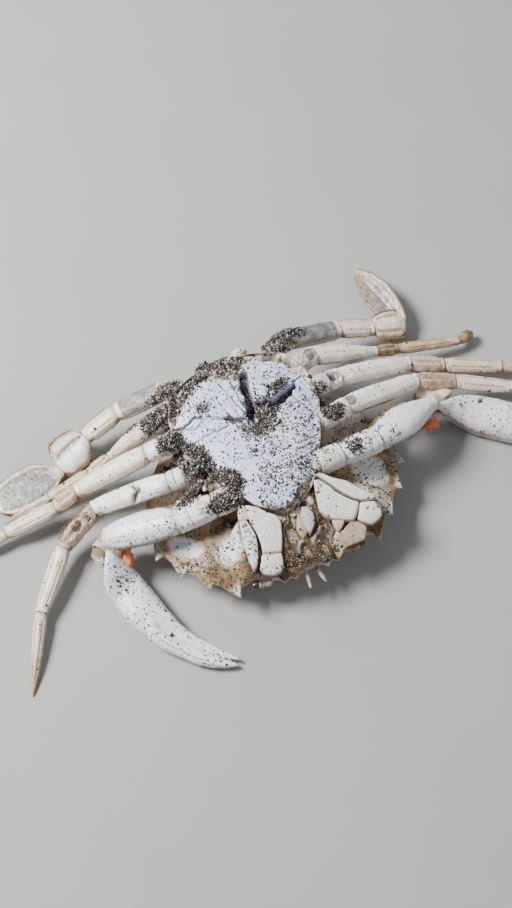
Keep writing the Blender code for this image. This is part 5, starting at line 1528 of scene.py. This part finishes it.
def make_hand(name, stations, wrist, sizes, colours, movable):
    """A palm with its fixed finger, or a movable finger, with a row of teeth where the fingers meet."""
    heading, long, wide = HANDS[name.rsplit("_", 1)[0]]
    line, outer = (direction(side_of(name), heading + turn, 0) for turn in (0, 90))
    table = np.array(stations, float)
    rows = int(sizes.rows * HAND_ROWS * (table[-1, 0] - table[0, 0]) / HAND_LENGTH)
    away = np.linspace(table[0, 0], table[-1, 0], rows)
    aside, half, thick, height = (eased(away, table[:, 0], table[:, i], 0.05) for i in (1, 2, 3, 4))
    centre = wrist + line * (away * long)[:, None] + outer * (aside * wide)[:, None]
    centre[:, 2] = height
    axes, look = (line, outer, UP), FINGER_LOOK if movable else HAND_LOOK
    rings, masks = shell_tube(name, centre, axes, half * wide, thick * wide, look, sizes, closed=True)
    body = slice(END_RINGS, END_RINGS + rows)
    t = np.linspace(0, 1, rows)[:, None]
    angle = np.linspace(0, 360, sizes.around, endpoint=False)[None]
    start, meeting, more, sign = ((0.05, 0.15), 180, 1.0, -1) if movable else ((0.56, 0.64), 0, 1.75, 1)
    finger = soft_step(t, *start) * soft_step(t, 1.0, 0.93)
    bites = np.abs(np.sin(t * math.pi * BITE_TEETH * more))
    edge = hill(turned(angle, meeting), 0, 24)
    rings[body] += outer * sign * (BITE_DEPTH * finger * edge * (bites - 0.2))[..., None]
    masks["cream"][body] += 0.5 * finger * edge
    # Painted shade in the troughs between the teeth, where the fingers meet.
    masks["dark"][body] += 0.8 * finger * edge * (1 - bites)
    if name == "claw_right_palm":
        blush_palm(masks, body, t, angle)
    settle(add_tube(f"{name}_shell", rings, shell_finish("claw", colours), masks), name)


def make_claws(sizes, colours):
    """Both claws: two root pieces, arm, wrist, palm and finger."""
    parts = (("coxa", None), ("ischium", "base"), ("arm", "arm"), ("wrist", "wrist"))
    for limb in ("claw_left", "claw_right"):
        joints = limb_joints(limb)
        points = [joints[0], along_path(joints[:2], CLAW_COXA_END), *joints[1:]]
        planes = joint_planes(points)
        for index, (part, node) in enumerate(parts):
            kind = KINDS.get((limb, part), "claw " + part if index < 2 else part)
            make_segment(f"{limb}_{part}", points[index:index + 2], planes[index:index + 2], kind, "claw",
                         sizes, colours, node and f"{limb}_{node}")
        make_hand(f"{limb}_palm", HAND_STARTS[limb] + HAND, joints[3], sizes, colours, False)
        make_hand(f"{limb}_finger", FINGER, joints[3], sizes, colours, True)


# Bristles and sand
def bristle_map(piece, roots, rng):
    """Gives each bristle its own small patch on the bristles' map, by where it grows."""
    low, high = np.array(CAD_BOX[0]) / MM, np.array(CAD_BOX[1]) / MM
    place = np.clip((roots[:, :2] - low[:2]) / (high[:2] - low[:2]), 0, 0.996)
    spots = (place[:, None] + rng.random((len(roots), 7, 2)) * 0.003).reshape(-1, 2)
    layer = piece.data.uv_layers.new(name="OFBake")
    loops = np.empty(len(piece.data.loops), np.int32)
    piece.data.loops.foreach_get("vertex_index", loops)
    layer.data.foreach_set("uv", spots[loops].astype(np.float32).ravel())


def add_bristles(name, roots, ways, lengths, width, material, seed):
    """Thin closed spikes in one mesh, three-sided and slightly bent."""
    rng = np.random.default_rng(seed)
    ways = unit(ways + 0.22 * rng.normal(size=ways.shape))
    helper = np.where(np.abs(ways[:, 2:3]) < 0.8, UP, np.array((1.0, 0, 0)))
    a = unit(np.cross(ways, helper))
    b = np.cross(ways, a)
    bend = unit(0.5 * a + rng.normal(size=ways.shape) * 0.5)
    points = []
    for part, size in ((0.0, 1.0), (0.55, 0.7)):
        middle = roots + ways * (lengths * part)[:, None] + bend * (lengths * 0.12 * part ** 2)[:, None]
        for k in range(3):
            turn = 2 * math.pi * k / 3
            points.append(middle + (a * math.cos(turn) + b * math.sin(turn)) * width * size)
    points.append(roots + ways * lengths[:, None] + bend * (lengths * 0.16)[:, None])
    pattern = [(0, 1, 4, 3), (1, 2, 5, 4), (2, 0, 3, 5), (3, 4, 6), (4, 5, 6), (5, 3, 6), (2, 1, 0)]
    faces = [tuple(7 * i + k for k in face) for i in range(len(roots)) for face in pattern]
    flat = np.stack(points, axis=1).reshape(-1, 3)
    flat[:, 2] = np.maximum(flat[:, 2], 0.02)
    piece = add_piece(name, flat, faces, material)
    bristle_map(piece, roots, rng)
    return piece


def fringe(name, angle, spread, count, begin, end, rng, lean=0.35):
    """Roots and directions for a row of bristles along one edge of a limb piece."""
    body = surfaces[name]
    rows, around = body.shape[:2]
    t = begin + (end - begin) * rng.random(count)
    i = np.clip((t * (rows - 1)).astype(int), 0, rows - 1)
    j = ((angle + spread * rng.normal(size=count)) / 360 * around).astype(int) % around
    roots = body[i, j]
    line = unit(body[-1].mean(0) - body[0].mean(0))
    ways = unit(unit(roots - body.mean(axis=1)[i]) + lean * line)
    return roots - 0.15 * ways, ways


def fringe_rows():
    """All rows of bristles: the listed ones and those that every leg and paddle has."""
    rows = list(FRINGES)
    for limb in POSE:
        if limb.startswith("paddle"):
            rows += [(f"{limb}_paddle", a, 3, 420, 0.35, 0.12, 0.98) for a in (0, 180)]
            rows += [(f"{limb}_carpus", a, 8, 160, 0.5, 0.05, 0.98) for a in (5, 175)]
        elif limb.startswith("leg"):
            rows += [(f"{limb}_propodus", a, 7, 130, 0.3, 0.05, 0.98) for a in (0, 180)]
            rows += [(f"{limb}_{part}", 180, 8, 90, 0.3, 0.05, 0.98) for part in ("merus", "carpus")]
    return rows


def make_fringes(rng, long, width, bristle):
    """The rows of bristles along the edges of the limbs."""
    roots, ways, lengths = [], [], []
    for name, angle, spread, count, size, begin, end in fringe_rows():
        place, way = fringe(name, angle, spread, count, begin, end, rng)
        roots.append(place)
        ways.append(way)
        lengths.append(long * size * rng.uniform(0.6, 1.1, count))
    roots, ways, lengths = (np.concatenate(rows) for rows in (roots, ways, lengths))
    settle(add_bristles("limb_fringes", roots, ways, lengths, width, bristle, SEED))


def make_felt(rng, width, bristle):
    """Short felt near the shell's edge, with none in its smooth hollows or towards its rear."""
    belly = surfaces["carapace"]
    i = (belly.shape[0] * rng.random(FELT_TRIES) ** 2.0 * 0.45).astype(int)
    place = belly[i, rng.integers(0, belly.shape[1], FELT_TRIES)]
    clean = np.max([soft_step(1.1 - oval_reach(place, *oval), 0, 0.3) for *oval, _, _ in HOLLOWS], axis=0)
    place = place[rng.random(FELT_TRIES) > np.maximum(clean * 2, soft_step(place[:, 1], 10, 30))]
    outward = unit(with_height(unit(place[:, :2] - SHELL_CENTRE), 0.55))
    lengths = rng.uniform(0.5, 1.2, len(place))
    felt = add_bristles("shell_felt", place - 0.1 * outward, outward, lengths, width * 0.8, bristle, SEED + 1)
    settle(felt)


def make_beard(rng, width, bristle):
    """The bristles in the mouth, densest at its border."""
    edge = smooth_loop(MOUTH_BED, BEARD_PLACES)
    edge = edge[(rng.random(BEARD_COUNT) * (BEARD_PLACES - 1)).astype(int)]
    inner = edge + (edge.mean(0) - edge) * (0.6 * rng.random(BEARD_COUNT) ** 2)[:, None]
    place = np.concatenate([inner, (mouth_height(inner[:, 1]) + 0.6)[:, None]], axis=1)
    ways = unit(rng.normal(size=(BEARD_COUNT, 3)) * 0.6 + np.array((0, -0.5, 0.8)))
    lengths = rng.uniform(0.8, 2.2, BEARD_COUNT)
    settle(add_bristles("mouth_bristles", place, ways, lengths, width, bristle, SEED + 2))


def make_bristles(sizes, colours):
    """The fringes of the limbs, the felt of the shell and the bristles of the mouth, in this order."""
    rng = np.random.default_rng(SEED)
    bristle = plain_finish("bristle", colours.bristle, darker(colours.tan, 0.9), 1.5, 0.6)
    width = sizes.bristle_width / MM
    make_fringes(rng, sizes.bristle_length / MM, width, bristle)
    make_felt(rng, width, bristle)
    make_beard(rng, width, bristle)


def grain_finish():
    """Sand of dark, brown, tan and a few pale grains, chosen by each grain's own shade."""
    f = Finish("sand_grain")
    shade = f.mask("shade")
    colour = f.mix(f.ramp(shade, 0.48, 0.56), (0.018, 0.017, 0.017), (0.085, 0.074, 0.066))
    colour = f.mix(f.ramp(shade, 0.74, 0.78), colour, (0.20, 0.15, 0.10))
    colour = f.mix(f.ramp(shade, 0.88, 0.9), colour, (0.46, 0.44, 0.40))
    f.feed(f.shader.inputs["Base Color"], colour)
    f.shader.inputs["Roughness"].default_value = 0.45
    return f.material


def grain_shape():
    """The corners and faces of a ten-sided body."""
    turns = np.radians(np.arange(5) * 72.0)
    points = np.array([(math.cos(a), math.sin(a), 0) for a in turns] + [(0, 0, 0.9), (0, 0, -0.9)])
    faces = [(i, (i + 1) % 5, 5) for i in range(5)] + [((i + 1) % 5, i, 6) for i in range(5)]
    return points * 1.12, np.array(faces)


def landing_spots(spots, heights):
    """Where grains dropped from above come to rest on the crab, those that miss it left out."""
    graph = bpy.context.evaluated_depsgraph_get()
    landed = []
    for (x, y), pile in zip(spots, heights):
        above = Vector((x * MM, y * MM, DROP_HEIGHT))
        hit, place, normal, *_ = bpy.context.scene.ray_cast(graph, above, Vector((0, 0, -1)))
        if hit and normal.z > DROP_FACING:
            landed.append((x, y, place.z / MM + pile))
    return np.array(landed)


def grain_spots(rng):
    """Where grains are dropped in plan, and how high each lies on its pile."""
    share = 1
    spots, piles = [], []
    for x, y, half_x, half_y, turn, count, pile in CLUMPS:
        count = int(count * share)
        away = np.sqrt(rng.random(count)) ** 1.2
        way = rng.uniform(0, 2 * math.pi, count)
        local = np.stack([half_x * away * np.cos(way), half_y * away * np.sin(way)], axis=-1)
        local = local + 0.7 * rng.normal(size=local.shape)
        c, s = math.cos(math.radians(turn)), math.sin(math.radians(turn))
        spots.append(local @ np.array(((c, s), (-s, c))) + (x, y))
        piles.append(pile * (1 - away ** 2) * rng.random(count))
    for x, y, half_x, half_y, count in SPRINKLES:
        count = int(count * share)
        spots.append(np.array((x, y)) + rng.uniform(-1, 1, (count, 2)) * (half_x, half_y))
        piles.append(np.zeros(count))
    return np.concatenate(spots), np.concatenate(piles)


def make_grains(sizes, colours):
    """The clinging sand: each grain a ten-sided body of its own size, turn and shade."""
    rng = np.random.default_rng(SEED + 3)
    landed = landing_spots(*grain_spots(rng))
    corners, faces = grain_shape()
    count = len(landed)
    size = sizes.grain / MM * rng.lognormal(0, 0.3, count)
    turn = unit(rng.normal(size=(count, 3)))
    other = unit(np.cross(turn, unit(rng.normal(size=(count, 3)))))
    axes = np.stack([turn, other, np.cross(turn, other)], axis=1)
    body = corners[None] * (1 + 0.16 * rng.normal(size=(count, 7, 1))) * rng.uniform(0.7, 1.25, (count, 1, 3))
    body = np.einsum("nij,njk->nik", body, axes) * size[:, None, None] + landed[:, None]
    body[..., 2] = np.clip(body[..., 2], 0.02, THORAX_TOP + 0.6)
    order = (faces[None] + 7 * np.arange(count)[:, None, None]).reshape(-1, 3).tolist()
    shade = {"shade": np.repeat(rng.random(count), 7)}
    settle(add_piece("clinging_sand", body.reshape(-1, 3), order, grain_finish(), shade))


# Camera of the picture: heading and downward tilt in degrees, distance and aim in mm
CAMERA_HEADING = 23.5
CAMERA_TILT = 64
CAMERA_DISTANCE = 459
CAMERA_AIM = (0, 16, 13)
LENS_MM = 50
SENSOR_MM = 36

# Studio in metres: floor, lamps with their place, size and power in watts, and the sky's colour
FLOOR_HALF = 2
FLOOR_LEVEL = -0.0001
LAMPS = [
    ("key", (-0.45, 0.32, 0.62), 0.26, 18.2), ("fill", (0.5, -0.45, 0.6), 0.7, 1.3),
    ("back", (0.1, 0.8, 0.5), 0.6, 1.6),
]
SKY_COLOUR = (0.86, 0.9, 1.0, 1)
SKY_STRENGTH = 0.3


def set_camera(scene):
    """The picture's camera, from its heading, tilt, distance and aim."""
    heading, tilt = math.radians(CAMERA_HEADING), math.radians(CAMERA_TILT)
    ahead = Vector((math.sin(heading) * math.cos(tilt), math.cos(heading) * math.cos(tilt), -math.sin(tilt)))
    right = Vector((math.cos(heading), -math.sin(heading), 0))
    up = right.cross(ahead)
    place = (Vector(CAMERA_AIM) - ahead * CAMERA_DISTANCE) * MM
    camera = bpy.data.objects.new("camera", bpy.data.cameras.new("camera"))
    camera.data.lens = LENS_MM
    camera.data.sensor_width = SENSOR_MM
    camera.matrix_world = Matrix((
        (right.x, up.x, -ahead.x, place.x), (right.y, up.y, -ahead.y, place.y),
        (right.z, up.z, -ahead.z, place.z), (0, 0, 0, 1)))
    scene.collection.objects.link(camera)
    scene.camera = camera


def make_stage(sizes, colours):
    """The studio floor, the camera, the sky and the soft lamps."""
    scene = bpy.context.scene
    mesh = bpy.data.meshes.new("floor")
    corners = [(x * FLOOR_HALF, y * FLOOR_HALF, 0) for x, y in ((-1, -1), (1, -1), (1, 1), (-1, 1))]
    mesh.from_pydata(corners, [], [(0, 1, 2, 3)])
    mesh.materials.append(plain_finish("floor_paper", colours.floor, darker(colours.floor, 0.97), 60, 0.85))
    floor = bpy.data.objects.new("floor", mesh)
    scene.collection.objects.link(floor)
    floor.location.z = FLOOR_LEVEL
    set_camera(scene)
    world = bpy.data.worlds.new("studio")
    world.use_nodes = True
    world.node_tree.nodes["Background"].inputs["Color"].default_value = SKY_COLOUR
    world.node_tree.nodes["Background"].inputs["Strength"].default_value = SKY_STRENGTH
    scene.world = world
    for name, spot, size, power in LAMPS:
        lamp = bpy.data.objects.new(name, bpy.data.lights.new(name, "AREA"))
        lamp.data.size = size
        lamp.data.energy = power
        lamp.location = spot
        lamp.rotation_euler = (-Vector(spot)).to_track_quat("-Z", "Y").to_euler()
        scene.collection.objects.link(lamp)


# Steps and panel
class Step:
    """What the steps share: each runs its makers with the scene's settings."""

    def execute(self, context):
        for make in self.makers:
            make(context.scene.crab_sizes, context.scene.crab_colours)
        return {"FINISHED"}


class CRAB_OT_carapace(Step, bpy.types.Operator):
    """Build the shell of the back with its toothed edge"""

    bl_idname = "crab.carapace"
    bl_label = "Shell of the back"
    makers = (make_carapace,)


class CRAB_OT_thorax(Step, bpy.types.Operator):
    """Build the broken breastplate and the dried skin round it"""

    bl_idname = "crab.thorax"
    bl_label = "Thorax plate"
    makers = (make_thorax,)


class CRAB_OT_tail(Step, bpy.types.Operator):
    """Build what is left of the tail flap"""

    bl_idname = "crab.tail"
    bl_label = "Tail flap"
    makers = (make_tail,)


class CRAB_OT_head(Step, bpy.types.Operator):
    """Build the jaw plates, the skin of the mouth, the eyes and the stumps of the feelers"""

    bl_idname = "crab.head"
    bl_label = "Jaws, eyes and feelers"
    makers = (make_jaws, make_head)


class CRAB_OT_claws(Step, bpy.types.Operator):
    """Build both claws, piece by piece"""

    bl_idname = "crab.claws"
    bl_label = "Claws"
    makers = (make_claws,)


class CRAB_OT_legs(Step, bpy.types.Operator):
    """Build the walking legs and the paddle legs, piece by piece"""

    bl_idname = "crab.legs"
    bl_label = "Legs and paddles"
    makers = (make_legs,)


class CRAB_OT_skin(Step, bpy.types.Operator):
    """Build the lumps of dried skin and flesh that show between the pieces"""

    bl_idname = "crab.skin"
    bl_label = "Skin and flesh"
    makers = (make_lumps,)


class CRAB_OT_bristles(Step, bpy.types.Operator):
    """Build the bristle fringes of the limbs, the felt of the shell and the bristles of the mouth"""

    bl_idname = "crab.bristles"
    bl_label = "Bristles"
    makers = (make_bristles,)


class CRAB_OT_sand(Step, bpy.types.Operator):
    """Drop grains of sand on the finished crab"""

    bl_idname = "crab.sand"
    bl_label = "Clinging sand"
    makers = (make_grains,)


class CRAB_OT_stage(Step, bpy.types.Operator):
    """Set up the floor, the soft lights and the camera"""

    bl_idname = "crab.stage"
    bl_label = "Stage"
    makers = (make_stage,)


STEPS = (
    CRAB_OT_carapace, CRAB_OT_thorax, CRAB_OT_tail, CRAB_OT_head, CRAB_OT_claws, CRAB_OT_legs, CRAB_OT_skin,
    CRAB_OT_bristles, CRAB_OT_sand, CRAB_OT_stage,
)


class CRAB_PT_panel(bpy.types.Panel):
    """Settings and steps of the crab"""

    bl_label = "Washed-up crab"
    bl_space_type = "VIEW_3D"
    bl_region_type = "UI"
    bl_category = "Crab"

    def draw(self, context):
        for group in (context.scene.crab_sizes, context.scene.crab_colours):
            box = self.layout.box()
            for key in group.bl_rna.properties.keys():
                if key not in ("rna_type", "name"):
                    box.prop(group, key)
        for step in STEPS:
            self.layout.operator(step.bl_idname)


CLASSES = (CrabSizes, CrabColours, *STEPS, CRAB_PT_panel)


def register():
    for cls in CLASSES:
        bpy.utils.register_class(cls)
    bpy.types.Scene.crab_sizes = PointerProperty(type=CrabSizes)
    bpy.types.Scene.crab_colours = PointerProperty(type=CrabColours)


def unregister():
    del bpy.types.Scene.crab_colours
    del bpy.types.Scene.crab_sizes
    for cls in reversed(CLASSES):
        bpy.utils.unregister_class(cls)


def main():
    register()
    bpy.ops.crab.carapace()
    bpy.ops.crab.thorax()
    bpy.ops.crab.tail()
    bpy.ops.crab.head()
    bpy.ops.crab.claws()
    bpy.ops.crab.legs()
    bpy.ops.crab.skin()
    bpy.ops.crab.bristles()
    bpy.ops.crab.sand()
    bpy.ops.crab.stage()


if __name__ == "__main__":
    main()
